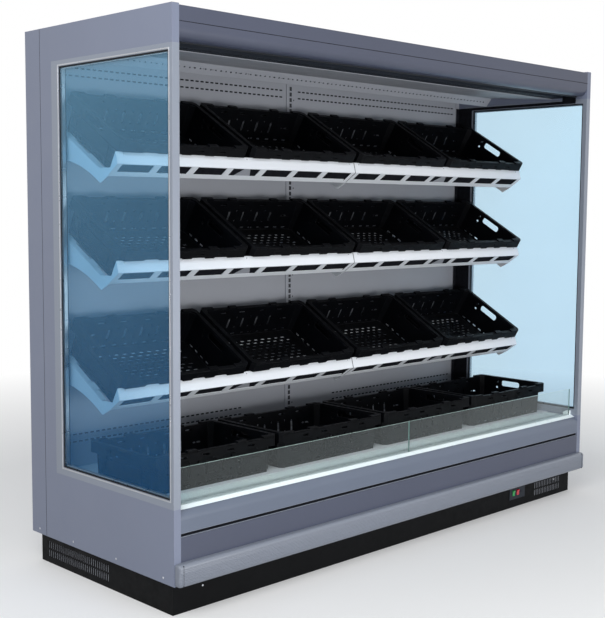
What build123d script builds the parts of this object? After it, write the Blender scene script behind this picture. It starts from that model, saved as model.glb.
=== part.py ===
from build123d import *
import os
from math import atan2, ceil, cos, degrees, hypot, radians, sin, sqrt

os.makedirs("parts", exist_ok=True)

# An open multideck display fridge with tilted crate shelves, in millimetres.
# X runs along the length, -Y is the shopper's side, Z is up, and the origin is on the floor
# under the middle of the case. "depth" is measured back from the front face of the end walls.

# ------------------------------------------------------------------ case
SHEET = 2.0  # folded steel sheet
END_WALL = 30.0
CASE_DEPTH = 915.0
BACK_THICKNESS = 60.0
ROOF_THICKNESS = 40.0
DUCT = 75.0  # air duct between the insulated back and the rear wall panels
ROOF_STEP = 5.0  # the end walls stand this much above the roof

# ------------------------------------------------------------------ crates
CRATES_PER_ROW = 4
CRATE_LENGTH = 600.0
CRATE_DEPTH = 400.0
CRATE_HEIGHT = 148.0
CRATE_GAP = 22.0
ROW_END_GAP = 17.0
CRATE_WALL = 3.0
CRATE_RIM = 15.0
CRATE_DRAFT = 7.0
CRATE_SKIRT = 36.0
CRATE_LEDGE = 7.0  # raised parts of the rim
CRATE_CORNER = 14.0
CORNER_LEDGE = 72.0
TAB_LENGTH = 44.0
TAB_X = 120.0
HAND_HOLE_LENGTH = 110.0
HAND_HOLE_HEIGHT = 28.0
HAND_HOLE_DROP = 23.0
HAND_HOLE_CORNER = 8.0
WALL_SLOT_WIDTH = 9.0
WALL_SLOT_HEIGHT = 44.0
WALL_SLOT_PITCH = 80.0
WALL_SLOTS = 4
REST_GAP = 0.3
CRATE_RAIL_GAP = 2.0
CRATE_DECK_INSET = 7.0

# ------------------------------------------------------------------ base
FOOT_HEIGHT = 60.0
FOOT_RADIUS = 30.0
FOOT_PAD = 10.0
FOOT_STEM_RADIUS = 8.0
FOOT_NUT_RADIUS = 14.0
FOOT_NUT_HEIGHT = 12.0
TUBE_WIDTH = 40.0
TUBE_HEIGHT = 60.0
TUBE_WALL = 2.5
FRAME_FRONT_DEPTH = 185.0
FRAME_REAR_INSET = 125.0
CROSS_TUBES = 4
FRAME_END_INSET = 110.0
PLINTH_FLOOR_GAP = 1.0
PLINTH_SIDE_INSET = 28.0
PLINTH_FRONT_INSET = 44.0
PLINTH_REAR_INSET = 23.0
VENT_WIDTH = 7.0
VENT_HEIGHT = 28.0
VENT_PITCH = 14.0
VENT_ROW_STEP = 34.0
VENT_DROP = 64.0  # middle of the vents below the body
FRONT_VENTS = 16
SIDE_VENTS = 30
FRONT_VENT_END_GAP = 78.0
SIDE_VENT_END_GAP = 45.0

# ------------------------------------------------------------------ fans
FAN_RADIUS = 90.0
FAN_TIP_GAP = 5.0
FAN_MARGIN = 9.0
FAN_END_GAP = 450.0  # from an end wall to the outer fan's axis
FAN_HUB_RADIUS = 24.0
FAN_WIDTH = 24.0
FAN_BLADES = 5
BLADE_PITCH = 35.0
BLADE_CHORD = 34.0
BLADE_ROOT = 2.0
SHAFT_RADIUS = 4.0
SHAFT_CLEARANCE = 0.05
SHAFT_END_GAP = 2.0
MOTOR_RADIUS = 32.0
MOTOR_LENGTH = 50.0
MOTOR_ARMS = 3
MOTOR_ARM = 6.0
MOTOR_ARM_WIDTH = 10.0
COLLAR_DEPTH = 40.0
ROTOR_INSET = 3.0
PLENUM_DEPTH = 300.0

# ------------------------------------------------------------------ tub, deck and riser
FRONT_RECESS = 14.0  # tub face behind the front panels
TUB_WALL = 46.0
TUB_FLOOR = 50.0
DECK_ABOVE_TUB = 18.0
GRILLE_THICKNESS = 12.0
GRILLE_BASE = 4.0
GRILLE_RIB = 5.0
GRILLE_RIBS = 10
GRILLE_WIDTH = 107.0
PAN_FLANGE = 15.0
PAN_GAP = 4.0
HOLDER_OVERHANG = 2.0
HOLDER_ABOVE_DECK = 4.0
HOLDER_FRONT_DEPTH = 18.0
HOLDER_LIP = 4.0
RISER_GLASS = 6.0
RISER_DEPTH = 40.0
RISER_SHOWS = 130.0
RISER_END_GAP = 12.0
PANE_GAP = 2.0
END_CAP_FRONT = 40.0
END_CAP_REAR = 76.0
END_CAP_HEIGHT = 20.0

# ------------------------------------------------------------------ front
NOSE_RADIUS = 38.0
NOSE_DROP = 20.0  # centre of the nose's curve below the tub's top
UPPER_PANEL_FLAT = 44.0
PANEL_GAP = 16.0
LOWER_PANEL_LIFT = 2.0
BUMPER_DEPTH = 28.0
BUMPER_HEIGHT = 80.0
BUMPER_WALL = 3.0
BUMPER_TOP_RADIUS = 14.0
BUMPER_BOTTOM_RADIUS = 12.0
BUMPER_CAP_RADIUS = 9.0
BUMPER_CAP = 18.0
BUMPER_END_INSET = 3.0

# ------------------------------------------------------------------ shelves
LOW_ABOVE_DECK = 371.0
MIDDLE_ABOVE_LOW = 463.0
TOP_ABOVE_MIDDLE = 389.0
HEADROOM = 374.0  # from the top shelf's front rail to the ceiling
SHELF_TILT = 30.0
SHELF_REACH = 398.0  # from the uprights to the top edge of the front rail
SHELF_END_GAP = 8.0
SHELF_CENTRE_GAP = 4.0
RAIL_RISE = 100.0  # top edge of the front rail above the shelf surface
RAIL_FACE_LEAN = 12.0
RAIL_FACE_HEIGHT = 44.0
RAIL_SLOT_PITCH = 175.0
RAIL_SLOT_LENGTH = 142.0
RAIL_SLOT_WIDTH = 46.0
RAIL_SLOT_MARGIN = 4.0
MIDDLE_RAIL_AT = 123.0
REAR_RAIL_GAP = 62.0
CROSS_RAIL_WIDTH = 48.0
CROSS_RAIL_HEIGHT = 14.0
ARM_THICKNESS = 3.0
ARM_FLANGE = 20.0
ARM_GUSSET_RISE = 35.0
ARM_GUSSET_RUN = 60.0
ARM_TIP = (47.0, -24.0)  # from the rail's lower edge: back, up
ARM_BELLY = (172.0, 38.0)
ARM_ROOT_DEPTH = 41.0
ARM_ROOT_RISE = 69.0
HOOK_LENGTH = 12.0
HOOK_CLEARANCE = 0.5
HOOKS = 2

# ------------------------------------------------------------------ rear wall and uprights
UPRIGHT_WIDTH = 50.0
UPRIGHT_PROUD = 4.0
UPRIGHT_SLOT_WIDTH = 4.0
UPRIGHT_SLOT_HEIGHT = 16.0
UPRIGHT_SLOT_PITCH = 25.0
UPRIGHT_FIRST_SLOT = 66.0
UPRIGHT_TOP_MARGIN = 30.0
AIR_SLOT_LENGTH = 14.0
AIR_SLOT_HEIGHT = 4.0
AIR_SLOT_PITCH = 27.0
AIR_SLOT_END_GAP = 30.0
LOW_AIR_ROWS = (100.0, 129.0)  # above the deck
LOW_AIR_START = 0.245  # share of the bay left plain beside the middle upright
HIGH_AIR_ROWS = (41.0, 71.0)  # below the ceiling
WALL_FOOT_LAP = 20.0

# ------------------------------------------------------------------ canopy
CANOPY_RISE = 89.0  # from the ceiling duct's plate to the roof
FASCIA_RADIUS = 39.0
FASCIA_HEIGHT = 110.0
FASCIA_SEAM_DROP = 51.0
SEAM_GAP = 2.0
FASCIA_LIP = 11.0
FASCIA_RETURN = 14.0
CEILING_EDGE_DROP = 26.0
CEILING_FLANGE = 40.0
CEILING_RUN = 365.0
CEILING_BEND_RISE = 2.0
CEILING_LIP_RUN = 32.0
CEILING_LIP_DROP = 40.0
CEILING_LIP_BACK = 15.0
LIP_HOLE_RADIUS = 3.0
LIP_HOLE_PITCH = 48.0
HONEYCOMB_DEPTH = 60.0
HONEYCOMB_HEIGHT = 30.0
HONEYCOMB_DROP = 72.0
HONEYCOMB_CELL = 11.0
HONEYCOMB_CELL_LENGTH = 33.0
HONEYCOMB_WALL = 3.0
LAMP_END_GAP = 70.0
LAMP_WIDTH = 20.0
LAMP_HEIGHT = 16.0
LENS_HEIGHT = 9.0
LAMP_GAP = 6.0
LAMP_TO_OUTLET = 3.0

# ------------------------------------------------------------------ end windows
WINDOW_REAR_MARGIN = 183.0
WINDOW_ABOVE_DECK = 4.0
WINDOW_BELOW_FASCIA = 13.0
FRONT_STILE = 21.0
REAR_STILE = 50.0
BOTTOM_RAIL = 30.0
TOP_RAIL = 22.0
GLASS_UNIT = 22.0

# ------------------------------------------------------------------ night blind
ROLL_RADIUS = 26.0
ROLL_BELOW_ROOF = 18.0
ROLL_END_GAP = 25.0
ROLL_PIN_RADIUS = 6.0
PIN_CLEARANCE = 0.05
BLIND_BRACKET = 4.0
BLIND_BRACKET_WIDTH = 44.0
BLIND_BRACKET_HEIGHT = 70.0
CLOTH = 0.8
CLOTH_CLEARANCE = 0.3
CLOTH_EDGE = 5.0
BAR_HEIGHT = 14.0
BAR_WIDTH = 9.0
BAR_TO_LIP = 1.8
BAR_SHOWS = 4.0  # under the fascia's lip
BAR_END_GAP = 8.0

# ------------------------------------------------------------------ coil and service lines
COIL_DEPTH = 220.0
COIL_HEIGHT = 158.0
COIL_FOOT = 12.0
COIL_REAR_GAP = 16.0
COIL_END_GAP = 100.0
COIL_PLATE_EDGE = 5.0
HAIRPIN_BEND = 14.0
HAIRPIN_TUBE = 5.0
HAIRPIN_COLUMN_PITCH = 70.0
HAIRPIN_LEVEL_PITCH = 50.0
LINE_END_GAP = 60.0
LINE_STUB = 45.0
LINE_WALL = 1.0
LINE_BRANCH = 0.8  # a branch's radius against its riser's
LINE_HOLE_CLEARANCE = 0.5
SEAL_RING = 3.0  # under the tub, round each line
SEAL_RING_RIM = 5.0
SUCTION_RADIUS = 11.0
SUCTION_REAR_GAP = 66.0
SUCTION_DROP = 30.0  # below the coil's top
LIQUID_RADIUS = 6.0
LIQUID_REAR_GAP = 156.0
LIQUID_DROP = 70.0
DRAIN_RADIUS = 20.0
DRAIN_BORE = 17.0
DRAIN_FLANGE = 34.0
DRAIN_DEPTH = 450.0
DRAIN_STUB = 50.0

# ------------------------------------------------------------------ switches
PANEL_END_GAP = 444.0
PANEL_LENGTH = 124.0
PANEL_HEIGHT = 62.0
PANEL_DROP = 50.0  # middle of the switch plate below the body
ROCKER_OFFSETS = (-30.0, 4.0)
ROCKER_WIDTH = 17.0
ROCKER_HALF_HEIGHT = 12.5
ROCKER_TILT = 8.0
ROCKER_SIDE_GAP = 0.5
ROCKER_END_GAP = 2.0
ROCKER_PIN_RADIUS = 1.5
ROCKER_PIN_LENGTH = 2.0
ROCKER_PROUD = 3.5
ROCKER_DISH = 2.0
ROCKER_HEEL = 4.0
ROCKER_EDGE = 3.0
PIVOT_BEHIND_FACE = 8.0
HOUSING_WALL = 3.0
HOUSING_DEPTH = 16.0
PILOT_OFFSET = 32.0
PILOT_RADIUS = 5.0
PILOT_PROUD = 2.0
BOX_LENGTH = 180.0
BOX_FRONT_GAP = 20.0
BOX_DEPTH = 84.0
BOX_HEIGHT = 82.0
GLAND_BORE = 6.5
GLAND_RADIUS = 11.0
GLAND_LENGTH = 18.0
GLAND_OFFSET = -45.0  # from the middle of the box

# ------------------------------------------------------------------ derived places
HALF_BAY = (CRATES_PER_ROW * CRATE_LENGTH + (CRATES_PER_ROW - 1) * CRATE_GAP) / 2 + ROW_END_GAP
BAY_LENGTH = 2 * HALF_BAY
HALF_CASE = HALF_BAY + END_WALL
FRONT_Y = BUMPER_DEPTH - (CASE_DEPTH + BUMPER_DEPTH) / 2
BACK_DEPTH = CASE_DEPTH - BACK_THICKNESS
WALL_DEPTH = BACK_DEPTH - DUCT
UPRIGHT_DEPTH = WALL_DEPTH - UPRIGHT_PROUD

BODY_BOTTOM = FOOT_HEIGHT + TUBE_HEIGHT
TUB_INSIDE = BODY_BOTTOM + TUB_FLOOR
FAN_HOLE = FAN_RADIUS + FAN_TIP_GAP
DECK_UNDERSIDE = TUB_INSIDE + 2 * (FAN_HOLE + SHEET + FAN_MARGIN)
FAN_HEIGHT = (TUB_INSIDE + DECK_UNDERSIDE) / 2
DECK_HEIGHT = DECK_UNDERSIDE + SHEET
TUB_TOP = DECK_HEIGHT - DECK_ABOVE_TUB
TUB_REAR_OF_WALL = FRONT_RECESS + TUB_WALL
NOSE_CENTRE_HEIGHT = TUB_TOP - NOSE_DROP
UPPER_PANEL_BOTTOM = NOSE_CENTRE_HEIGHT - UPPER_PANEL_FLAT
HOLDER_REAR_DEPTH = TUB_REAR_OF_WALL + HOLDER_OVERHANG
HOLDER_TOP = DECK_HEIGHT + HOLDER_ABOVE_DECK
RISER_FOOT = DECK_HEIGHT - GRILLE_THICKNESS
GRILLE_REAR = HOLDER_REAR_DEPTH + GRILLE_WIDTH
DECK_FRONT_DEPTH = GRILLE_REAR + PAN_GAP

LOW_APEX = DECK_HEIGHT + LOW_ABOVE_DECK
MIDDLE_APEX = LOW_APEX + MIDDLE_ABOVE_LOW
TOP_APEX = MIDDLE_APEX + TOP_ABOVE_MIDDLE
APEX_HEIGHTS = {"low": LOW_APEX, "middle": MIDDLE_APEX, "top": TOP_APEX}
APEX_DEPTH = UPRIGHT_DEPTH - SHELF_REACH
WALL_TOP = TOP_APEX + HEADROOM
ROOF_TOP = WALL_TOP + CANOPY_RISE
ROOF_BOTTOM = ROOF_TOP - ROOF_THICKNESS
CASE_HEIGHT = ROOF_TOP + ROOF_STEP

FASCIA_BOTTOM = ROOF_TOP - FASCIA_HEIGHT
FASCIA_LIP_DEPTH = FASCIA_RADIUS + FASCIA_LIP
CLOTH_DEPTH = FASCIA_LIP_DEPTH + BAR_TO_LIP + BAR_WIDTH / 2
ROLL_DEPTH = CLOTH_DEPTH + CLOTH / 2 + CLOTH_CLEARANCE + ROLL_RADIUS
ROLL_HEIGHT = ROOF_BOTTOM - ROLL_BELOW_ROOF
BAR_BOTTOM = FASCIA_BOTTOM - BAR_SHOWS
BAR_TOP = BAR_BOTTOM + BAR_HEIGHT
LAMP_SPAN = (ROLL_DEPTH + ROLL_RADIUS + LAMP_GAP, ROLL_DEPTH + ROLL_RADIUS + LAMP_GAP + LAMP_WIDTH)
ROOF_FRONT_DEPTH = LAMP_SPAN[0]
OUTLET_FRONT_DEPTH = LAMP_SPAN[1] + LAMP_TO_OUTLET
CEILING_FRONT_DEPTH = OUTLET_FRONT_DEPTH + SHEET + HONEYCOMB_DEPTH

WINDOW_SPAN = (0.0, CASE_DEPTH - WINDOW_REAR_MARGIN)
WINDOW_HEIGHTS = (DECK_HEIGHT + WINDOW_ABOVE_DECK, FASCIA_BOTTOM - WINDOW_BELOW_FASCIA)
GLASS_SPAN = (FRONT_STILE, WINDOW_SPAN[1] - REAR_STILE)
GLASS_HEIGHTS = (WINDOW_HEIGHTS[0] + BOTTOM_RAIL, WINDOW_HEIGHTS[1] - TOP_RAIL)

SHELF_SIN = sin(radians(SHELF_TILT))
SHELF_COS = cos(radians(SHELF_TILT))
ARM_INNER_X = SHELF_CENTRE_GAP / 2
ARM_OUTER_X = HALF_BAY - SHELF_END_GAP


def deep(depth):
    """Y of a point so far behind the front face of the end walls."""
    return FRONT_Y + depth


def write(part, name):
    part.label = name
    export_step(part, f"parts/{name}.step")


def outline(points):
    """Closed outline from (depth, height) points."""
    Polyline(*[(deep(depth), height) for depth, height in points], close=True)


def prism(points, x_start, x_end):
    """A closed (depth, height) outline run along the case."""
    with BuildPart() as run:
        with BuildSketch(Plane.YZ.offset(x_start)):
            with BuildLine():
                outline(points)
            make_face()
        extrude(amount=x_end - x_start)
    return run.part


def folded(points, x_start, x_end, side=Side.LEFT):
    """A folded sheet whose outer face follows the open (depth, height) line."""
    with BuildPart() as fold:
        with BuildSketch(Plane.YZ.offset(x_start)):
            with BuildLine():
                Polyline(*[(deep(depth), height) for depth, height in points])
                offset(amount=SHEET, kind=Kind.INTERSECTION, side=side)
            make_face()
        extrude(amount=x_end - x_start)
    return fold.part


def block(x_span, depth_span, height_span):
    """A box given by its two limits along each direction."""
    with BuildPart() as box:
        with Locations(
            (
                sum(x_span) / 2,
                deep(sum(depth_span) / 2),
                sum(height_span) / 2,
            )
        ):
            Box(
                x_span[1] - x_span[0],
                depth_span[1] - depth_span[0],
                height_span[1] - height_span[0],
            )
    return box.part


def front_plane(x, depth, height):
    """A plane facing the shopper: its x runs along the case, its y runs up."""
    return Plane(origin=(x, deep(depth), height), x_dir=(1, 0, 0), z_dir=(0, -1, 0))


def group(*pieces):
    """Separate solids of one sub-part."""
    return Compound(children=list(pieces))


# ================================================================== base
def square_tube_x(x_span, depth):
    """A rectangular tube along the case, its top under the body."""
    with BuildPart() as tube:
        with BuildSketch(Plane.YZ.offset(x_span[0])):
            with Locations((deep(depth), BODY_BOTTOM - TUBE_HEIGHT / 2)):
                Rectangle(TUBE_WIDTH, TUBE_HEIGHT)
                Rectangle(TUBE_WIDTH - 2 * TUBE_WALL, TUBE_HEIGHT - 2 * TUBE_WALL, mode=Mode.SUBTRACT)
        extrude(amount=x_span[1] - x_span[0])
    return tube.part


def square_tube_y(x, depth_span):
    """A rectangular tube across the case, its top under the body."""
    with BuildPart() as tube:
        with BuildSketch(front_plane(x, depth_span[1], BODY_BOTTOM - TUBE_HEIGHT / 2)):
            Rectangle(TUBE_WIDTH, TUBE_HEIGHT)
            Rectangle(TUBE_WIDTH - 2 * TUBE_WALL, TUBE_HEIGHT - 2 * TUBE_WALL, mode=Mode.SUBTRACT)
        extrude(amount=depth_span[1] - depth_span[0])
    return tube.part


frame_half = HALF_BAY - FRAME_END_INSET
frame_rear_depth = CASE_DEPTH - FRAME_REAR_INSET
cross_x = [frame_half * (2 * i / (CROSS_TUBES - 1) - 1) for i in range(CROSS_TUBES)]
cross_span = (FRAME_FRONT_DEPTH + TUBE_WIDTH / 2, frame_rear_depth - TUBE_WIDTH / 2)
long_span = (-frame_half - TUBE_WIDTH / 2, frame_half + TUBE_WIDTH / 2)
base_frame = group(
    square_tube_x(long_span, FRAME_FRONT_DEPTH),
    square_tube_x(long_span, frame_rear_depth),
    *[square_tube_y(x, cross_span) for x in cross_x],
)
write(base_frame, "base_frame")

foot_places = [(x, deep(d)) for x in cross_x for d in (FRAME_FRONT_DEPTH, frame_rear_depth)]
with BuildPart() as levelling_feet:
    with BuildSketch(Plane.XY):
        with Locations(*foot_places):
            Circle(FOOT_RADIUS)
    extrude(amount=FOOT_PAD)
    with BuildSketch(Plane.XY.offset(FOOT_PAD)):
        with Locations(*foot_places):
            Circle(FOOT_STEM_RADIUS)
    extrude(amount=FOOT_HEIGHT - FOOT_PAD)
    with BuildSketch(Plane.XY.offset(FOOT_HEIGHT - FOOT_NUT_HEIGHT)):
        with Locations(*foot_places):
            RegularPolygon(FOOT_NUT_RADIUS, 6)
    extrude(amount=FOOT_NUT_HEIGHT)
write(levelling_feet.part, "levelling_feet")


plinth_half = HALF_CASE - PLINTH_SIDE_INSET
plinth_height = BODY_BOTTOM - PLINTH_FLOOR_GAP
plinth_middle = PLINTH_FLOOR_GAP + plinth_height / 2
vent_height = BODY_BOTTOM - VENT_DROP
front_vent_x = plinth_half - FRONT_VENT_END_GAP - FRONT_VENTS * VENT_PITCH / 2
side_vent_depth = CASE_DEPTH - PLINTH_REAR_INSET - SIDE_VENT_END_GAP - SIDE_VENTS * VENT_PITCH / 2
panel_x = HALF_BAY - PANEL_END_GAP
panel_height = BODY_BOTTOM - PANEL_DROP
rocker_x = [panel_x + offset_x for offset_x in ROCKER_OFFSETS]
housing_length = ROCKER_WIDTH + 2 * (ROCKER_SIDE_GAP + HOUSING_WALL)
housing_height = 2 * (ROCKER_HALF_HEIGHT + ROCKER_END_GAP + HOUSING_WALL)

with BuildPart() as plinth_front:
    with BuildSketch(front_plane(0, PLINTH_FRONT_INSET + SHEET, plinth_middle)):
        Rectangle(2 * plinth_half, plinth_height)
        with Locations((front_vent_x, vent_height - plinth_middle)):
            with GridLocations(VENT_PITCH, VENT_ROW_STEP, FRONT_VENTS, 2):
                Rectangle(VENT_WIDTH, VENT_HEIGHT, mode=Mode.SUBTRACT)
        with Locations(*[(x, panel_height - plinth_middle) for x in rocker_x]):
            Rectangle(housing_length, housing_height, mode=Mode.SUBTRACT)
    extrude(amount=SHEET)
write(plinth_front.part, "plinth_front")


def plinth_side(x_outer):
    """One side board with its two rows of vent slots."""
    length = CASE_DEPTH - PLINTH_REAR_INSET - SHEET - (PLINTH_FRONT_INSET + SHEET)
    middle = PLINTH_FRONT_INSET + SHEET + length / 2
    with BuildPart() as board:
        with BuildSketch(Plane.YZ.offset(x_outer)):
            with Locations((deep(middle), plinth_middle)):
                Rectangle(length, plinth_height)
            with Locations((deep(side_vent_depth), vent_height)):
                with GridLocations(VENT_PITCH, VENT_ROW_STEP, SIDE_VENTS, 2):
                    Rectangle(VENT_WIDTH, VENT_HEIGHT, mode=Mode.SUBTRACT)
        extrude(amount=SHEET)
    return board.part


plinth_rear_span = (CASE_DEPTH - PLINTH_REAR_INSET - SHEET, CASE_DEPTH - PLINTH_REAR_INSET)
plinth_surround = group(
    plinth_side(-plinth_half),
    plinth_side(plinth_half - SHEET),
    block((-plinth_half, plinth_half), plinth_rear_span, (PLINTH_FLOOR_GAP, BODY_BOTTOM)),
)
write(plinth_surround, "plinth_surround")

# ================================================================== insulated body
line_x = HALF_BAY - LINE_END_GAP
suction_depth = UPRIGHT_DEPTH - SUCTION_REAR_GAP
liquid_depth = UPRIGHT_DEPTH - LIQUID_REAR_GAP
with BuildPart() as insulated_tub:
    with BuildSketch(Plane.YZ.offset(-HALF_BAY)):
        with BuildLine():
            outline(
                [
                    (FRONT_RECESS, BODY_BOTTOM),
                    (BACK_DEPTH, BODY_BOTTOM),
                    (BACK_DEPTH, TUB_INSIDE),
                    (TUB_REAR_OF_WALL, TUB_INSIDE),
                    (TUB_REAR_OF_WALL, TUB_TOP),
                    (FRONT_RECESS, TUB_TOP),
                ]
            )
        make_face()
    extrude(amount=BAY_LENGTH)
    with BuildSketch(Plane.XY.offset(BODY_BOTTOM)):
        with Locations((line_x, deep(suction_depth))):
            Circle(SUCTION_RADIUS + LINE_HOLE_CLEARANCE)
        with Locations((line_x, deep(liquid_depth))):
            Circle(LIQUID_RADIUS + LINE_HOLE_CLEARANCE)
        with Locations((0, deep(DRAIN_DEPTH))):
            Circle(DRAIN_RADIUS + LINE_HOLE_CLEARANCE)
    extrude(amount=TUB_FLOOR, mode=Mode.SUBTRACT)
write(insulated_tub.part, "insulated_tub")

insulated_back = block((-HALF_BAY, HALF_BAY), (BACK_DEPTH, CASE_DEPTH), (BODY_BOTTOM, ROOF_BOTTOM))
write(insulated_back, "insulated_back")

insulated_roof = block((-HALF_BAY, HALF_BAY), (ROOF_FRONT_DEPTH, CASE_DEPTH), (ROOF_BOTTOM, ROOF_TOP))
write(insulated_roof, "insulated_roof")


# ================================================================== end walls
def end_panel(x_start):
    """Painted end wall, open at the front where the window frame stands."""
    return prism(
        [
            (0, BODY_BOTTOM),
            (CASE_DEPTH, BODY_BOTTOM),
            (CASE_DEPTH, CASE_HEIGHT),
            (0, CASE_HEIGHT),
            (0, WINDOW_HEIGHTS[1]),
            (WINDOW_SPAN[1], WINDOW_HEIGHTS[1]),
            (WINDOW_SPAN[1], WINDOW_HEIGHTS[0]),
            (0, WINDOW_HEIGHTS[0]),
        ],
        x_start,
        x_start + END_WALL,
    )


write(end_panel(-HALF_CASE), "end_panel_left")
write(end_panel(HALF_BAY), "end_panel_right")


def window_frame(x_start):
    """Aluminium frame round the end glass, its front stile closing the wall's edge."""
    with BuildPart() as frame:
        with BuildSketch(Plane.YZ.offset(x_start)):
            for span, heights, mode in (
                (WINDOW_SPAN, WINDOW_HEIGHTS, Mode.ADD),
                (GLASS_SPAN, GLASS_HEIGHTS, Mode.SUBTRACT),
            ):
                with Locations((deep(sum(span) / 2), sum(heights) / 2)):
                    Rectangle(span[1] - span[0], heights[1] - heights[0], mode=mode)
        extrude(amount=END_WALL)
    return frame.part


end_window_frames = group(window_frame(-HALF_CASE), window_frame(HALF_BAY))
write(end_window_frames, "end_window_frames")

glass_inset = (END_WALL - GLASS_UNIT) / 2
end_glass = group(
    block((-HALF_CASE + glass_inset, -HALF_BAY - glass_inset), GLASS_SPAN, GLASS_HEIGHTS),
    block((HALF_BAY + glass_inset, HALF_CASE - glass_inset), GLASS_SPAN, GLASS_HEIGHTS),
)
write(end_glass, "end_glass")

# ================================================================== front
nose_inner = NOSE_RADIUS - SHEET
nose_back = NOSE_RADIUS - HOLDER_FRONT_DEPTH
nose_top_height = NOSE_CENTRE_HEIGHT + sqrt(NOSE_RADIUS**2 - nose_back**2)
nose_inner_height = NOSE_CENTRE_HEIGHT + sqrt(nose_inner**2 - nose_back**2)
with BuildPart() as upper_front_panel:
    with BuildSketch(Plane.YZ.offset(-HALF_BAY)):
        with BuildLine():
            Polyline(
                (deep(0), NOSE_CENTRE_HEIGHT),
                (deep(0), UPPER_PANEL_BOTTOM),
                (deep(FRONT_RECESS), UPPER_PANEL_BOTTOM),
                (deep(FRONT_RECESS), UPPER_PANEL_BOTTOM + SHEET),
                (deep(SHEET), UPPER_PANEL_BOTTOM + SHEET),
                (deep(SHEET), NOSE_CENTRE_HEIGHT),
            )
            nose_end = deep(HOLDER_FRONT_DEPTH)
            RadiusArc((deep(SHEET), NOSE_CENTRE_HEIGHT), (nose_end, nose_inner_height), nose_inner)
            Line((nose_end, nose_inner_height), (nose_end, nose_top_height))
            RadiusArc((deep(0), NOSE_CENTRE_HEIGHT), (nose_end, nose_top_height), NOSE_RADIUS)
        make_face()
    extrude(amount=BAY_LENGTH)
write(upper_front_panel.part, "upper_front_panel")

lower_panel_heights = (BODY_BOTTOM + LOWER_PANEL_LIFT, UPPER_PANEL_BOTTOM - PANEL_GAP)
lower_front_panel = folded(
    [
        (FRONT_RECESS, lower_panel_heights[0]),
        (0, lower_panel_heights[0]),
        (0, lower_panel_heights[1]),
        (FRONT_RECESS, lower_panel_heights[1]),
    ],
    -HALF_BAY,
    HALF_BAY,
    side=Side.RIGHT,
)
write(lower_front_panel, "lower_front_panel")


def bumper_face(plane):
    """Outline of the bumper with its rounded front corners."""
    with BuildSketch(plane) as face:
        with Locations((deep(-BUMPER_DEPTH / 2), BODY_BOTTOM + BUMPER_HEIGHT / 2)):
            Rectangle(BUMPER_DEPTH, BUMPER_HEIGHT)
        fillet(face.vertices().sort_by(Axis.Y)[-2:].sort_by(Axis.X)[0], BUMPER_TOP_RADIUS)
        fillet(face.vertices().sort_by(Axis.Y)[:2].sort_by(Axis.X)[0], BUMPER_BOTTOM_RADIUS)
    return face.sketch


bumper_half = HALF_CASE - BUMPER_END_INSET
with BuildPart() as bumper_run:
    add(bumper_face(Plane.YZ.offset(-bumper_half + BUMPER_CAP)))
    extrude(amount=2 * (bumper_half - BUMPER_CAP), dir=(1, 0, 0))
    with Locations((0, deep(-BUMPER_DEPTH / 2), BODY_BOTTOM + BUMPER_HEIGHT / 2)):
        Box(
            2 * (bumper_half - BUMPER_CAP),
            BUMPER_DEPTH - 2 * BUMPER_WALL,
            BUMPER_HEIGHT - 2 * BUMPER_TOP_RADIUS,
            mode=Mode.SUBTRACT,
        )


def bumper_cap(side):
    """Rounded end of the bumper, on the left (-1) or the right (1)."""
    with BuildPart() as cap:
        add(bumper_face(Plane.YZ.offset(side * (bumper_half - BUMPER_CAP))))
        extrude(amount=BUMPER_CAP, dir=(side, 0, 0))
        outer_face = cap.faces().sort_by(Axis.X)[-1 if side > 0 else 0]
        rounded = outer_face.edges().sort_by(Axis.Y)[:-1]
        fillet(rounded, BUMPER_CAP_RADIUS)
    return cap.part


write(group(bumper_run.part, bumper_cap(-1), bumper_cap(1)), "bumper")

riser_rear = RISER_DEPTH + RISER_GLASS
holder_profile = prism(
    [
        (HOLDER_FRONT_DEPTH, TUB_TOP),
        (HOLDER_REAR_DEPTH, TUB_TOP),
        (HOLDER_REAR_DEPTH, HOLDER_TOP),
        (riser_rear, HOLDER_TOP),
        (riser_rear, RISER_FOOT),
        (RISER_DEPTH, RISER_FOOT),
        (RISER_DEPTH, HOLDER_TOP),
        (RISER_DEPTH - HOLDER_LIP, HOLDER_TOP),
        (HOLDER_FRONT_DEPTH, nose_top_height),
    ],
    -HALF_BAY,
    HALF_BAY,
)


def holder_end(x_start):
    """Black end cap that stops the riser panes at the end wall."""
    cap_top = HOLDER_TOP + END_CAP_HEIGHT
    return prism(
        [
            (END_CAP_FRONT, HOLDER_TOP),
            (HOLDER_REAR_DEPTH, HOLDER_TOP),
            (HOLDER_REAR_DEPTH, DECK_HEIGHT),
            (END_CAP_REAR, DECK_HEIGHT),
            (END_CAP_REAR, cap_top - END_CAP_HEIGHT / 2),
            (END_CAP_REAR - END_CAP_HEIGHT, cap_top),
            (END_CAP_FRONT, cap_top),
        ],
        x_start,
        x_start + RISER_END_GAP,
    )


write(
    group(holder_profile, holder_end(-HALF_BAY), holder_end(HALF_BAY - RISER_END_GAP)),
    "riser_holder",
)

pane_end = HALF_BAY - RISER_END_GAP
pane_heights = (RISER_FOOT, HOLDER_TOP + RISER_SHOWS)
riser_glass = group(
    block((-pane_end, -PANE_GAP / 2), (RISER_DEPTH, riser_rear), pane_heights),
    block((PANE_GAP / 2, pane_end), (RISER_DEPTH, riser_rear), pane_heights),
)
write(riser_glass, "riser_glass")

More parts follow.
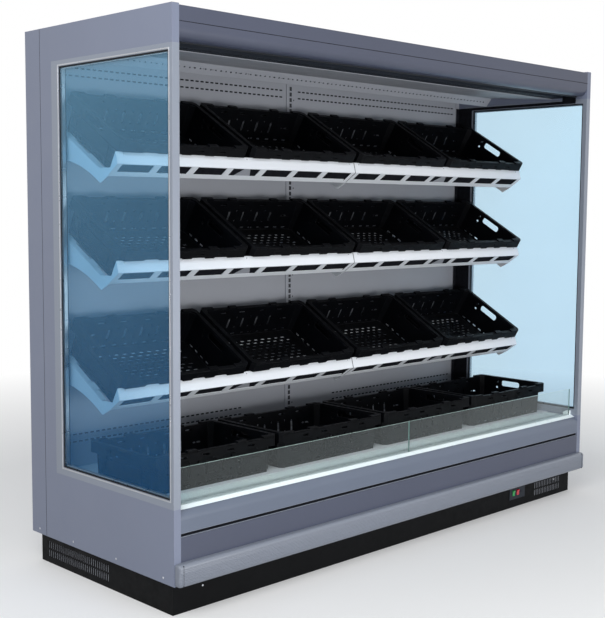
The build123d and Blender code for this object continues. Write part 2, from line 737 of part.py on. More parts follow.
# ================================================================== deck
rib_pitch = (GRILLE_WIDTH - GRILLE_RIB) / (GRILLE_RIBS - 1)
rib_height = GRILLE_THICKNESS - GRILLE_BASE
grille_middle = HOLDER_REAR_DEPTH + GRILLE_WIDTH / 2
with BuildPart() as air_return_grille:
    with Locations((0, deep(grille_middle), RISER_FOOT + GRILLE_BASE / 2)):
        Box(BAY_LENGTH, GRILLE_WIDTH, GRILLE_BASE)
    with BuildSketch(Plane.XY.offset(RISER_FOOT + GRILLE_BASE)):
        with Locations((0, deep(grille_middle))):
            with GridLocations(1, rib_pitch, 1, GRILLE_RIBS):
                Rectangle(BAY_LENGTH - 2 * RISER_END_GAP, GRILLE_RIB)
    extrude(amount=rib_height)
write(air_return_grille.part, "air_return_grille")


def deck_pan(x_start, x_end):
    """One deck pan with its front and rear edges folded down."""
    return folded(
        [
            (DECK_FRONT_DEPTH, DECK_HEIGHT - PAN_FLANGE),
            (DECK_FRONT_DEPTH, DECK_HEIGHT),
            (UPRIGHT_DEPTH, DECK_HEIGHT),
            (UPRIGHT_DEPTH, DECK_HEIGHT - PAN_FLANGE),
        ],
        x_start,
        x_end,
        side=Side.RIGHT,
    )


deck_pans = group(deck_pan(-HALF_BAY, -PAN_GAP / 2), deck_pan(PAN_GAP / 2, HALF_BAY))
write(deck_pans, "deck_pans")

# ================================================================== rear wall
slot_columns = (
    -ARM_OUTER_X + ARM_THICKNESS / 2,
    -ARM_INNER_X - ARM_THICKNESS / 2,
    ARM_INNER_X + ARM_THICKNESS / 2,
    ARM_OUTER_X - ARM_THICKNESS / 2,
)
first_slot = DECK_HEIGHT + UPRIGHT_FIRST_SLOT
slot_count = int((WALL_TOP - UPRIGHT_TOP_MARGIN - first_slot) / UPRIGHT_SLOT_PITCH) + 1


def upright(x_span, columns):
    """Slotted post: a channel whose legs reach back to the insulated wall."""
    x_low, x_high = x_span
    with BuildPart() as post:
        with BuildSketch(Plane.XY.offset(TUB_INSIDE)):
            with BuildLine():
                Polyline(
                    (x_low, deep(BACK_DEPTH)),
                    (x_low, deep(UPRIGHT_DEPTH)),
                    (x_high, deep(UPRIGHT_DEPTH)),
                    (x_high, deep(BACK_DEPTH)),
                    (x_high - SHEET, deep(BACK_DEPTH)),
                    (x_high - SHEET, deep(UPRIGHT_DEPTH + SHEET)),
                    (x_low + SHEET, deep(UPRIGHT_DEPTH + SHEET)),
                    (x_low + SHEET, deep(BACK_DEPTH)),
                    close=True,
                )
            make_face()
        extrude(amount=WALL_TOP - TUB_INSIDE)
        slot_middle = first_slot + (slot_count - 1) * UPRIGHT_SLOT_PITCH / 2
        with BuildSketch(front_plane(0, UPRIGHT_DEPTH + SHEET, slot_middle)):
            for column in columns:
                with Locations((column, 0)):
                    with GridLocations(1, UPRIGHT_SLOT_PITCH, 1, slot_count):
                        Rectangle(UPRIGHT_SLOT_WIDTH, UPRIGHT_SLOT_HEIGHT)
        extrude(amount=SHEET, mode=Mode.SUBTRACT)
    return post.part


shelf_uprights = group(
    upright((-HALF_BAY, -HALF_BAY + UPRIGHT_WIDTH / 2), slot_columns[:1]),
    upright((-UPRIGHT_WIDTH / 2, UPRIGHT_WIDTH / 2), slot_columns[1:3]),
    upright((HALF_BAY - UPRIGHT_WIDTH / 2, HALF_BAY), slot_columns[3:]),
)
write(shelf_uprights, "shelf_uprights")

bay_inner = UPRIGHT_WIDTH / 2
bay_outer = HALF_BAY - UPRIGHT_WIDTH / 2
air_rows = [(DECK_HEIGHT + rise, bay_outer * LOW_AIR_START) for rise in LOW_AIR_ROWS]
air_rows += [(WALL_TOP - drop, bay_inner + AIR_SLOT_END_GAP) for drop in HIGH_AIR_ROWS]


def wall_panel(side, bottom, top):
    """One rear wall sheet of a bay, with the air slot rows that fall on it."""
    x_middle = side * (bay_inner + bay_outer) / 2
    end = bay_outer - AIR_SLOT_END_GAP
    with BuildPart() as panel:
        with BuildSketch(front_plane(x_middle, WALL_DEPTH + SHEET, (bottom + top) / 2)):
            Rectangle(bay_outer - bay_inner, top - bottom)
            for height, start in air_rows:
                if bottom < height < top:
                    slots = int((end - start) / AIR_SLOT_PITCH) + 1
                    with Locations((side * (start + end) / 2 - x_middle, height - (bottom + top) / 2)):
                        with GridLocations(AIR_SLOT_PITCH, 1, slots, 1):
                            Rectangle(AIR_SLOT_LENGTH, AIR_SLOT_HEIGHT, mode=Mode.SUBTRACT)
        extrude(amount=SHEET)
    return panel.part


seams = (DECK_HEIGHT - WALL_FOOT_LAP, *APEX_HEIGHTS.values(), WALL_TOP)
rear_wall_panels = group(
    *[
        wall_panel(side, low, high)
        for side in (-1, 1)
        for low, high in zip(seams[:-1], seams[1:])
    ]
)
write(rear_wall_panels, "rear_wall_panels")

# ================================================================== canopy
seam_height = ROOF_TOP - FASCIA_SEAM_DROP
fascia_upper = folded(
    [
        (0, seam_height + SEAM_GAP / 2),
        (0, ROOF_TOP),
        (ROOF_FRONT_DEPTH, ROOF_TOP),
    ],
    -HALF_BAY,
    HALF_BAY,
    side=Side.RIGHT,
)
lower_top = seam_height - SEAM_GAP / 2
curve_top = FASCIA_BOTTOM + FASCIA_RADIUS
with BuildPart() as fascia_lower:
    with BuildSketch(Plane.YZ.offset(-HALF_BAY)):
        with BuildLine():
            Line((deep(0), lower_top), (deep(0), curve_top))
            RadiusArc((deep(0), curve_top), (deep(FASCIA_RADIUS), FASCIA_BOTTOM), -FASCIA_RADIUS)
            Polyline(
                (deep(FASCIA_RADIUS), FASCIA_BOTTOM),
                (deep(FASCIA_LIP_DEPTH), FASCIA_BOTTOM),
                (deep(FASCIA_LIP_DEPTH), FASCIA_BOTTOM + FASCIA_RETURN),
                (deep(FASCIA_LIP_DEPTH - SHEET), FASCIA_BOTTOM + FASCIA_RETURN),
                (deep(FASCIA_LIP_DEPTH - SHEET), FASCIA_BOTTOM + SHEET),
                (deep(FASCIA_RADIUS), FASCIA_BOTTOM + SHEET),
            )
            RadiusArc(
                (deep(SHEET), curve_top),
                (deep(FASCIA_RADIUS), FASCIA_BOTTOM + SHEET),
                SHEET - FASCIA_RADIUS,
            )
            Polyline((deep(SHEET), curve_top), (deep(SHEET), lower_top), (deep(0), lower_top))
        make_face()
    extrude(amount=BAY_LENGTH)
write(group(fascia_upper, fascia_lower.part), "canopy_fascia")

ceiling_front_height = WALL_TOP - CEILING_EDGE_DROP
bend_depth = CEILING_FRONT_DEPTH + CEILING_RUN
bend_height = WALL_TOP + CEILING_BEND_RISE
lip_depth = bend_depth + CEILING_LIP_RUN
lip_height = bend_height - CEILING_LIP_DROP
ceiling_panel = folded(
    [
        (CEILING_FRONT_DEPTH, ceiling_front_height + CEILING_FLANGE),
        (CEILING_FRONT_DEPTH, ceiling_front_height),
        (bend_depth, bend_height),
        (lip_depth, lip_height),
        (lip_depth + CEILING_LIP_BACK, WALL_TOP),
        (WALL_DEPTH + SHEET, WALL_TOP),
    ],
    -HALF_BAY,
    HALF_BAY,
)
lip_holes = int(BAY_LENGTH / LIP_HOLE_PITCH) - 1
lip_plane = Plane(
    origin=(0, deep((bend_depth + lip_depth) / 2), (bend_height + lip_height) / 2),
    x_dir=(1, 0, 0),
    z_dir=(0, -CEILING_LIP_DROP, -CEILING_LIP_RUN),
)
with BuildPart() as perforated_ceiling:
    add(ceiling_panel)
    with BuildSketch(lip_plane):
        with GridLocations(LIP_HOLE_PITCH, 1, lip_holes, 1):
            RegularPolygon(LIP_HOLE_RADIUS, 6)
    extrude(amount=-2 * SHEET, mode=Mode.SUBTRACT)
write(perforated_ceiling.part, "ceiling_panel")

outlet_bottom = ROOF_BOTTOM - HONEYCOMB_DROP
outlet_span = (OUTLET_FRONT_DEPTH + SHEET, CEILING_FRONT_DEPTH)
outlet_plate = block(
    (-HALF_BAY, HALF_BAY), (OUTLET_FRONT_DEPTH, outlet_span[0]), (outlet_bottom, ROOF_BOTTOM)
)
cell_pitch = (HONEYCOMB_CELL_LENGTH + HONEYCOMB_WALL, HONEYCOMB_CELL + HONEYCOMB_WALL)
cell_columns = int((BAY_LENGTH - HONEYCOMB_WALL) / cell_pitch[0])
cell_rows = int((HONEYCOMB_DEPTH - HONEYCOMB_WALL) / cell_pitch[1])
with BuildPart() as honeycomb:
    with BuildSketch(Plane.XY.offset(outlet_bottom)):
        with Locations((0, deep(sum(outlet_span) / 2))):
            Rectangle(BAY_LENGTH, HONEYCOMB_DEPTH)
            with GridLocations(*cell_pitch, cell_columns, cell_rows):
                Rectangle(HONEYCOMB_CELL_LENGTH, HONEYCOMB_CELL, mode=Mode.SUBTRACT)
    extrude(amount=HONEYCOMB_HEIGHT)
write(group(outlet_plate, honeycomb.part), "air_outlet")

lens_top = ROOF_BOTTOM - LAMP_HEIGHT
lamp_half = HALF_BAY - LAMP_END_GAP
lamp_base = block((-lamp_half, lamp_half), LAMP_SPAN, (lens_top, ROOF_BOTTOM))
with BuildPart() as lamp_lens:
    with BuildSketch(Plane.YZ.offset(-lamp_half)):
        with BuildLine():
            Line((deep(LAMP_SPAN[0]), lens_top), (deep(LAMP_SPAN[1]), lens_top))
            ThreePointArc(
                (deep(LAMP_SPAN[0]), lens_top),
                (deep(sum(LAMP_SPAN) / 2), lens_top - LENS_HEIGHT),
                (deep(LAMP_SPAN[1]), lens_top),
            )
        make_face()
    extrude(amount=2 * lamp_half)
write(group(lamp_base, lamp_lens.part), "canopy_lamp")

# ================================================================== night blind
roll_half = HALF_BAY - ROLL_END_GAP
cloth_half = roll_half - CLOTH_EDGE
pin_end = HALF_BAY - BLIND_BRACKET / 2
with BuildPart() as blind_roller:
    with BuildSketch(Plane.YZ.offset(-roll_half)):
        with Locations((deep(ROLL_DEPTH), ROLL_HEIGHT)):
            Circle(ROLL_RADIUS)
    extrude(amount=2 * roll_half)
    with BuildSketch(Plane.YZ.offset(-pin_end)):
        with Locations((deep(ROLL_DEPTH), ROLL_HEIGHT)):
            Circle(ROLL_PIN_RADIUS)
    extrude(amount=2 * pin_end)
write(blind_roller.part, "blind_roller")


def blind_bracket(x_start):
    """Plate on the end wall that carries one end of the roller."""
    with BuildPart() as plate:
        with BuildSketch(Plane.YZ.offset(x_start)):
            with Locations((deep(ROLL_DEPTH), ROLL_HEIGHT)):
                Rectangle(BLIND_BRACKET_WIDTH, BLIND_BRACKET_HEIGHT)
                Circle(ROLL_PIN_RADIUS + PIN_CLEARANCE, mode=Mode.SUBTRACT)
        extrude(amount=BLIND_BRACKET)
    return plate.part


write(
    group(blind_bracket(-HALF_BAY), blind_bracket(HALF_BAY - BLIND_BRACKET)),
    "blind_brackets",
)

blind_cloth = block(
    (-cloth_half, cloth_half),
    (CLOTH_DEPTH - CLOTH / 2, CLOTH_DEPTH + CLOTH / 2),
    (BAR_TOP, ROLL_HEIGHT),
)
write(blind_cloth, "blind_cloth")

bar_half = HALF_BAY - BAR_END_GAP
with BuildPart() as blind_bar:
    with BuildSketch(Plane.YZ.offset(-bar_half)):
        with Locations((deep(CLOTH_DEPTH), BAR_BOTTOM + BAR_HEIGHT / 2)):
            Rectangle(BAR_WIDTH, BAR_HEIGHT)
        fillet(vertices().group_by(Axis.Z)[0], BAR_WIDTH / 4)
    extrude(amount=2 * bar_half)
write(blind_bar.part, "blind_bar")


# ================================================================== shelves
def on_shelf(apex_height, along, above):
    """(depth, height) of a point given up the shelf's slope and above its surface."""
    depth = APEX_DEPTH + RAIL_RISE * SHELF_SIN + along * SHELF_COS - above * SHELF_SIN
    height = apex_height - RAIL_RISE * SHELF_COS + along * SHELF_SIN + above * SHELF_COS
    return depth, height


def rail_corners(apex_height):
    """Top edge, brow and lower edge of the triangular front rail."""
    apex = (APEX_DEPTH, apex_height)
    brow = (APEX_DEPTH - RAIL_FACE_LEAN, apex_height - RAIL_FACE_HEIGHT)
    return apex, brow, on_shelf(apex_height, 0, 0)


def front_rail(apex_height, x_start, x_end):
    """Folded triangular rail: plain face, slotted lower flange, gusset in the middle."""
    corners = rail_corners(apex_height)
    brow, heel = corners[1:]
    run = heel[0] - brow[0]
    drop = brow[1] - heel[1]
    slot_at = (RAIL_SLOT_MARGIN + RAIL_SLOT_WIDTH / 2) / hypot(run, drop)
    middle = (x_start + x_end) / 2
    rail_slots = int((x_end - x_start) / RAIL_SLOT_PITCH)
    with BuildPart() as rail:
        with BuildSketch(Plane.YZ.offset(x_start)):
            with BuildLine():
                outline(corners)
            make_face()
        extrude(amount=x_end - x_start)
        for hollow in ((x_start, middle), (middle, x_end)):
            with BuildSketch(Plane.YZ.offset(hollow[0] + SHEET)):
                with BuildLine():
                    outline(corners)
                make_face()
                offset(amount=-SHEET, kind=Kind.INTERSECTION, mode=Mode.REPLACE)
            extrude(amount=hollow[1] - hollow[0] - 2 * SHEET, mode=Mode.SUBTRACT)
        slot_plane = Plane(
            origin=(middle, deep(brow[0] + run * slot_at), brow[1] - drop * slot_at),
            x_dir=(1, 0, 0),
            z_dir=(0, -drop, -run),
        )
        with BuildSketch(slot_plane):
            with GridLocations(RAIL_SLOT_PITCH, 1, rail_slots, 1):
                Rectangle(RAIL_SLOT_LENGTH, RAIL_SLOT_WIDTH)
        extrude(amount=-SHEET, mode=Mode.SUBTRACT)
    return rail.part


def cross_rail(apex_height, along, x_start, x_end):
    """Channel that carries the crate floors, welded between two arms."""
    low = -CROSS_RAIL_HEIGHT
    return folded(
        [
            on_shelf(apex_height, along, low),
            on_shelf(apex_height, along, 0),
            on_shelf(apex_height, along + CROSS_RAIL_WIDTH, 0),
            on_shelf(apex_height, along + CROSS_RAIL_WIDTH, low),
        ],
        x_start,
        x_end,
        side=Side.RIGHT,
    )


arm_top_along = (UPRIGHT_DEPTH - APEX_DEPTH - RAIL_RISE * SHELF_SIN) / SHELF_COS
rear_rail_at = arm_top_along - REAR_RAIL_GAP - CROSS_RAIL_WIDTH


def half_shelf(apex_height, x_start, x_end):
    inner = (x_start + ARM_THICKNESS, x_end - ARM_THICKNESS)
    return [
        front_rail(apex_height, *inner),
        cross_rail(apex_height, MIDDLE_RAIL_AT, *inner),
        cross_rail(apex_height, rear_rail_at, *inner),
    ]


def hook_heights(lowest):
    """Heights of the first upright slots above the given height."""
    first = ceil((lowest - first_slot) / UPRIGHT_SLOT_PITCH)
    return [first_slot + (first + i) * UPRIGHT_SLOT_PITCH for i in range(HOOKS)]


def arm(apex_height, x_start, flange_side):
    """Cantilever bracket: rail end plate, curved underside, top flange and hooks."""
    apex, brow, heel = rail_corners(apex_height)
    tip = (heel[0] + ARM_TIP[0], heel[1] + ARM_TIP[1])
    belly = (heel[0] + ARM_BELLY[0], heel[1] + ARM_BELLY[1])
    root = (UPRIGHT_DEPTH - ARM_ROOT_DEPTH, heel[1] + ARM_ROOT_RISE)
    top_rear = on_shelf(apex_height, arm_top_along, 0)
    flange_runs = [
        (ARM_GUSSET_RUN, MIDDLE_RAIL_AT),
        (MIDDLE_RAIL_AT + CROSS_RAIL_WIDTH, rear_rail_at),
        (rear_rail_at + CROSS_RAIL_WIDTH, arm_top_along - SHEET),
    ]
    flange_start = x_start + ARM_THICKNESS if flange_side > 0 else x_start - ARM_FLANGE
    with BuildPart() as bracket:
        with BuildSketch(Plane.YZ.offset(x_start)):
            with BuildLine():
                Polyline(
                    (deep(root[0]), root[1]),
                    (deep(UPRIGHT_DEPTH), root[1]),
                    (deep(UPRIGHT_DEPTH), top_rear[1]),
                    *[
                        (deep(depth), height)
                        for depth, height in (
                            on_shelf(apex_height, ARM_GUSSET_RUN, 0),
                            on_shelf(apex_height, 0, ARM_GUSSET_RISE),
                            apex,
                            brow,
                            heel,
                            tip,
                        )
                    ],
                )
                ThreePointArc(
                    (deep(tip[0]), tip[1]), (deep(belly[0]), belly[1]), (deep(root[0]), root[1])
                )
            make_face()
        extrude(amount=ARM_THICKNESS)
        for low, high in flange_runs:
            with BuildSketch(Plane.YZ.offset(flange_start)):
                with BuildLine():
                    outline(
                        [
                            on_shelf(apex_height, low + SHEET, 0),
                            on_shelf(apex_height, high - SHEET, 0),
                            on_shelf(apex_height, high - SHEET, -SHEET),
                            on_shelf(apex_height, low + SHEET, -SHEET),
                        ]
                    )
                make_face()
            extrude(amount=ARM_FLANGE)
        hook_x = x_start + ARM_THICKNESS / 2
        hook_depth = UPRIGHT_DEPTH + HOOK_LENGTH / 2
        for height in hook_heights(root[1] + UPRIGHT_SLOT_HEIGHT):
            with Locations((hook_x, deep(hook_depth), height)):
                Box(ARM_THICKNESS, HOOK_LENGTH, UPRIGHT_SLOT_HEIGHT - 2 * HOOK_CLEARANCE)
    return bracket.part


left_half = (-ARM_OUTER_X, -ARM_INNER_X)
right_half = (ARM_INNER_X, ARM_OUTER_X)
for row, row_apex in APEX_HEIGHTS.items():
    shelf_frame = group(*half_shelf(row_apex, *left_half), *half_shelf(row_apex, *right_half))
    write(shelf_frame, f"shelf_frame_{row}")
    shelf_brackets = group(
        arm(row_apex, left_half[0], 1),
        arm(row_apex, left_half[1] - ARM_THICKNESS, -1),
        arm(row_apex, right_half[0], 1),
        arm(row_apex, right_half[1] - ARM_THICKNESS, -1),
    )
    write(shelf_brackets, f"shelf_brackets_{row}")

# ================================================================== crates
rim_level = CRATE_HEIGHT - CRATE_LEDGE
skirt_level = rim_level - CRATE_SKIRT
draft_angle = degrees(atan2(CRATE_DRAFT, rim_level))
low_rim_ends = (
    (CORNER_LEDGE - CRATE_LENGTH / 2, -TAB_X - TAB_LENGTH / 2),
    (-TAB_X + TAB_LENGTH / 2, TAB_X - TAB_LENGTH / 2),
    (TAB_X + TAB_LENGTH / 2, CRATE_LENGTH / 2 - CORNER_LEDGE),
)

# The crate stands in its own frame: x along its long side, y back from its front rim, z up
# from its floor.
crate_middle = Plane((0, CRATE_DEPTH / 2, 0))


def crate_outline(inset, height):
    """Rectangle with cut corners, so far inside the rim's outer edge, at a height."""
    with BuildSketch(crate_middle.offset(height)) as plan:
        Rectangle(CRATE_LENGTH - 2 * inset, CRATE_DEPTH - 2 * inset)
        chamfer(vertices(), CRATE_CORNER)
    return plan.sketch


foot_inset = CRATE_RIM + CRATE_DRAFT
with BuildPart() as crate:
    add(crate_outline(0, skirt_level))
    extrude(amount=CRATE_SKIRT + CRATE_LEDGE)
    add(crate_outline(CRATE_WALL, skirt_level))
    extrude(amount=CRATE_SKIRT - CRATE_WALL, mode=Mode.SUBTRACT)
    add(crate_outline(foot_inset, 0))
    extrude(amount=rim_level, taper=-draft_angle)
    add(crate_outline(foot_inset + CRATE_WALL, CRATE_WALL))
    extrude(amount=CRATE_HEIGHT, taper=-draft_angle, mode=Mode.SUBTRACT)
    with BuildSketch(crate_middle.offset(rim_level)):
        for low_start, low_end in low_rim_ends:
            with Locations(((low_start + low_end) / 2, 0)):
                Rectangle(low_end - low_start, CRATE_DEPTH)
    extrude(amount=CRATE_LEDGE, mode=Mode.SUBTRACT)
    with BuildSketch(Plane.YZ.offset(-CRATE_LENGTH / 2)):
        with Locations((CRATE_DEPTH / 2, rim_level - HAND_HOLE_DROP)):
            Rectangle(HAND_HOLE_LENGTH, HAND_HOLE_HEIGHT)
        chamfer(vertices(), HAND_HOLE_CORNER)
    extrude(amount=CRATE_LENGTH, mode=Mode.SUBTRACT)
    with BuildSketch(Plane.XZ.offset(-CRATE_DEPTH)):
        with Locations((0, rim_level / 2)):
            with GridLocations(WALL_SLOT_PITCH, 1, WALL_SLOTS, 1):
                Rectangle(WALL_SLOT_WIDTH, WALL_SLOT_HEIGHT)
    extrude(amount=CRATE_DEPTH, mode=Mode.SUBTRACT)

crate_pitch = CRATE_LENGTH + CRATE_GAP
crate_x = [crate_pitch * (i - (CRATES_PER_ROW - 1) / 2) for i in range(CRATES_PER_ROW)]
crate_along = CRATE_RAIL_GAP - CRATE_RIM - CRATE_DRAFT * (1 - RAIL_RISE / rim_level)
crate_rows = {"deck": (0.0, DECK_FRONT_DEPTH + CRATE_DECK_INSET, DECK_HEIGHT + REST_GAP)}
for row, row_apex in APEX_HEIGHTS.items():
    crate_rows[row] = (SHELF_TILT, *on_shelf(row_apex, crate_along, REST_GAP))

for row, (tilt, row_depth, row_height) in crate_rows.items():
    for number, x in enumerate(crate_x, start=1):
        placed = crate.part.moved(Location((x, deep(row_depth), row_height), (tilt, 0, 0)))
        write(placed, f"crate_{row}_{number}")

# ================================================================== cooling
outer_fan_x = HALF_BAY - FAN_END_GAP
fan_x = {"left": -outer_fan_x, "centre": 0.0, "right": outer_fan_x}
fan_places = [(x, FAN_HEIGHT) for x in fan_x.values()]
collar_rear = PLENUM_DEPTH + COLLAR_DEPTH
with BuildPart() as plenum_plate:
    with BuildSketch(front_plane(0, PLENUM_DEPTH + SHEET, FAN_HEIGHT)):
        Rectangle(BAY_LENGTH, DECK_UNDERSIDE - TUB_INSIDE)
    extrude(amount=SHEET)
    with BuildSketch(front_plane(0, collar_rear, 0)):
        with Locations(*fan_places):
            Circle(FAN_HOLE + SHEET)
    extrude(amount=COLLAR_DEPTH)
    with BuildSketch(front_plane(0, collar_rear, 0)):
        with Locations(*fan_places):
            Circle(FAN_HOLE)
    extrude(amount=COLLAR_DEPTH, mode=Mode.SUBTRACT)

motor_front = collar_rear - MOTOR_ARM
rotor_front = PLENUM_DEPTH + ROTOR_INSET


def fan_motor(x):
    """Motor with its shaft, held by three arms in the collar."""
    with BuildPart() as motor:
        with BuildSketch(front_plane(x, motor_front + MOTOR_LENGTH, FAN_HEIGHT)):
            Circle(MOTOR_RADIUS)
        extrude(amount=MOTOR_LENGTH)
        with BuildSketch(front_plane(x, motor_front, FAN_HEIGHT)):
            Circle(SHAFT_RADIUS)
        extrude(amount=motor_front - rotor_front - SHAFT_END_GAP)
        with BuildSketch(front_plane(x, collar_rear, FAN_HEIGHT)):
            with PolarLocations(FAN_HOLE / 2, MOTOR_ARMS, start_angle=90):
                Rectangle(FAN_HOLE, MOTOR_ARM_WIDTH)
            Circle(FAN_HOLE, mode=Mode.INTERSECT)
        extrude(amount=MOTOR_ARM)
    return motor.part


write(group(plenum_plate.part, *[fan_motor(x) for x in fan_x.values()]), "fan_plenum")


def fan_rotor(x):
    """Hub with a bore for the motor shaft and pitched blades."""
    hub_plane = front_plane(x, rotor_front + FAN_WIDTH, FAN_HEIGHT)
    blade_plane = hub_plane.offset(FAN_WIDTH / 2)
    blade_length = FAN_RADIUS - FAN_HUB_RADIUS
    blade_middle = FAN_HUB_RADIUS + blade_length / 2 - BLADE_ROOT
    with BuildPart() as rotor:
        with BuildSketch(hub_plane):
            Circle(FAN_HUB_RADIUS)
        extrude(amount=FAN_WIDTH)
        for blade in range(FAN_BLADES):
            turned = Location(blade_plane) * Location((0, 0, 0), (0, 0, 360 / FAN_BLADES * blade))
            with Locations(turned * Location((blade_middle, 0, 0), (BLADE_PITCH, 0, 0))):
                Box(blade_length, BLADE_CHORD, SHEET)
        with BuildSketch(hub_plane):
            Circle(SHAFT_RADIUS + SHAFT_CLEARANCE)
        extrude(amount=FAN_WIDTH, mode=Mode.SUBTRACT)
    return rotor.part


for side, x in fan_x.items():
    write(fan_rotor(x), f"fan_rotor_{side}")

coil_bottom = TUB_INSIDE + COIL_FOOT
coil_top = coil_bottom + COIL_HEIGHT
coil_rear = UPRIGHT_DEPTH - COIL_REAR_GAP
coil_front = coil_rear - COIL_DEPTH
coil_half = HALF_BAY - COIL_END_GAP
coil_pack = block((-coil_half, coil_half), (coil_front, coil_rear), (coil_bottom, coil_top))
plate_span = (coil_front - COIL_PLATE_EDGE, coil_rear + COIL_PLATE_EDGE)
coil_plates = [
    block((x, x + SHEET), plate_span, (TUB_INSIDE, coil_top + COIL_PLATE_EDGE))
    for x in (-coil_half - SHEET, coil_half)
]


def hairpin(depth, height):
    """Return bend between two tube rows at the coil's left end."""
    start_x = -coil_half - SHEET
    with BuildPart() as pin:
        with BuildLine() as path:
            ThreePointArc(
                (start_x, deep(depth), height - HAIRPIN_BEND),
                (start_x - HAIRPIN_BEND, deep(depth), height),
                (start_x, deep(depth), height + HAIRPIN_BEND),
            )
        with BuildSketch(Plane(origin=path.line @ 0, z_dir=path.line % 0)):
            Circle(HAIRPIN_TUBE)
        sweep()
    return pin.part


coil_middle = ((coil_front + coil_rear) / 2, (coil_bottom + coil_top) / 2)
hairpins = [
    hairpin(
        coil_middle[0] + column * HAIRPIN_COLUMN_PITCH,
        coil_middle[1] + level * HAIRPIN_LEVEL_PITCH,
    )
    for column in (-1, 0, 1)
    for level in (-1, 0, 1)
]
write(group(coil_pack, *coil_plates, *hairpins), "evaporator_coil")


def refrigerant_line(radius, depth, branch_height):
    """Line from the coil's end plate, down through the tub floor to its open stub."""
    branch_radius = radius * LINE_BRANCH
    stub_bottom = BODY_BOTTOM - LINE_STUB
    with BuildPart() as line:
        with BuildSketch(Plane.XY.offset(stub_bottom)):
            with Locations((line_x, deep(depth))):
                Circle(radius)
        extrude(amount=branch_height + radius - stub_bottom)
        with BuildSketch(Plane.XY.offset(BODY_BOTTOM - SEAL_RING)):
            with Locations((line_x, deep(depth))):
                Circle(radius + SEAL_RING_RIM)
        extrude(amount=SEAL_RING)
        with BuildSketch(Plane.YZ.offset(coil_half + SHEET)):
            with Locations((deep(depth), branch_height)):
                Circle(branch_radius)
        extrude(amount=line_x - coil_half - SHEET)
        with BuildSketch(Plane.XY.offset(stub_bottom)):
            with Locations((line_x, deep(depth))):
                Circle(radius - LINE_WALL)
        extrude(amount=LINE_STUB + TUB_FLOOR, mode=Mode.SUBTRACT)
    return line.part


with BuildPart() as drain_outlet:
    with BuildSketch(Plane.XY.offset(TUB_INSIDE)):
        with Locations((0, deep(DRAIN_DEPTH))):
            Circle(DRAIN_FLANGE)
    extrude(amount=SHEET)
    with BuildSketch(Plane.XY.offset(BODY_BOTTOM - DRAIN_STUB)):
        with Locations((0, deep(DRAIN_DEPTH))):
            Circle(DRAIN_RADIUS)
    extrude(amount=DRAIN_STUB + TUB_FLOOR)
    with BuildSketch(Plane.XY.offset(BODY_BOTTOM - SEAL_RING)):
        with Locations((0, deep(DRAIN_DEPTH))):
            Circle(DRAIN_RADIUS + SEAL_RING_RIM)
    extrude(amount=SEAL_RING)
    with BuildSketch(Plane.XY.offset(BODY_BOTTOM - DRAIN_STUB)):
        with Locations((0, deep(DRAIN_DEPTH))):
            Circle(DRAIN_BORE)
    extrude(amount=DRAIN_STUB + TUB_FLOOR + SHEET, mode=Mode.SUBTRACT)

write(
    group(
        refrigerant_line(SUCTION_RADIUS, suction_depth, coil_top - SUCTION_DROP),
        refrigerant_line(LIQUID_RADIUS, liquid_depth, coil_top - LIQUID_DROP),
        drain_outlet.part,
    ),
    "service_lines",
)

# ================================================================== switches
face_depth = PLINTH_FRONT_INSET - SHEET
pivot_depth = face_depth + PIVOT_BEHIND_FACE
rocker_places = [(x, 0) for x in rocker_x]
with BuildPart() as switch_plate:
    with BuildSketch(front_plane(panel_x, PLINTH_FRONT_INSET, panel_height)):
        Rectangle(PANEL_LENGTH, PANEL_HEIGHT)
    extrude(amount=SHEET)
    with BuildSketch(front_plane(0, face_depth + HOUSING_DEPTH + HOUSING_WALL, panel_height)):
        with Locations(*rocker_places):
            Rectangle(housing_length, housing_height)
    extrude(amount=HOUSING_DEPTH + HOUSING_WALL)
    with BuildSketch(front_plane(0, face_depth + HOUSING_DEPTH, panel_height)):
        with Locations(*rocker_places):
            Rectangle(housing_length - 2 * HOUSING_WALL, housing_height - 2 * HOUSING_WALL)
    extrude(amount=HOUSING_DEPTH, mode=Mode.SUBTRACT)
    for x in rocker_x:
        with BuildSketch(Plane.YZ.offset(x - housing_length / 2)):
            with Locations((deep(pivot_depth), panel_height)):
                Circle(ROCKER_PIN_RADIUS + PIN_CLEARANCE)
        extrude(amount=housing_length, mode=Mode.SUBTRACT)
with BuildPart() as pilot_lamp:
    with BuildSketch(front_plane(panel_x + PILOT_OFFSET, face_depth, panel_height)):
        Circle(PILOT_RADIUS)
    extrude(amount=PILOT_PROUD)
write(group(switch_plate.part, pilot_lamp.part), "switch_plate")


def rocker(x):
    """Rocker on two pins, standing tilted with its lower half pushed in."""
    tilt = radians(ROCKER_TILT)
    half = ROCKER_WIDTH / 2
    proud = PIVOT_BEHIND_FACE + ROCKER_PROUD
    key_plane = Plane(
        origin=(x - half, deep(pivot_depth), panel_height),
        x_dir=(0, -cos(tilt), -sin(tilt)),
        z_dir=(1, 0, 0),
    )
    with BuildPart() as key:
        with BuildSketch(key_plane):
            with BuildLine():
                Polyline(
                    (proud, -ROCKER_HALF_HEIGHT),
                    (proud - ROCKER_DISH, 0),
                    (proud, ROCKER_HALF_HEIGHT),
                    (ROCKER_EDGE, ROCKER_HALF_HEIGHT),
                    (-ROCKER_HEEL, ROCKER_HEEL),
                    (-ROCKER_HEEL, -ROCKER_HEEL),
                    (ROCKER_EDGE, -ROCKER_HALF_HEIGHT),
                    close=True,
                )
            make_face()
        extrude(amount=ROCKER_WIDTH)
        pin_half = half + ROCKER_SIDE_GAP + ROCKER_PIN_LENGTH
        with BuildSketch(Plane.YZ.offset(x - pin_half)):
            with Locations((deep(pivot_depth), panel_height)):
                Circle(ROCKER_PIN_RADIUS)
        extrude(amount=2 * pin_half)
    return key.part


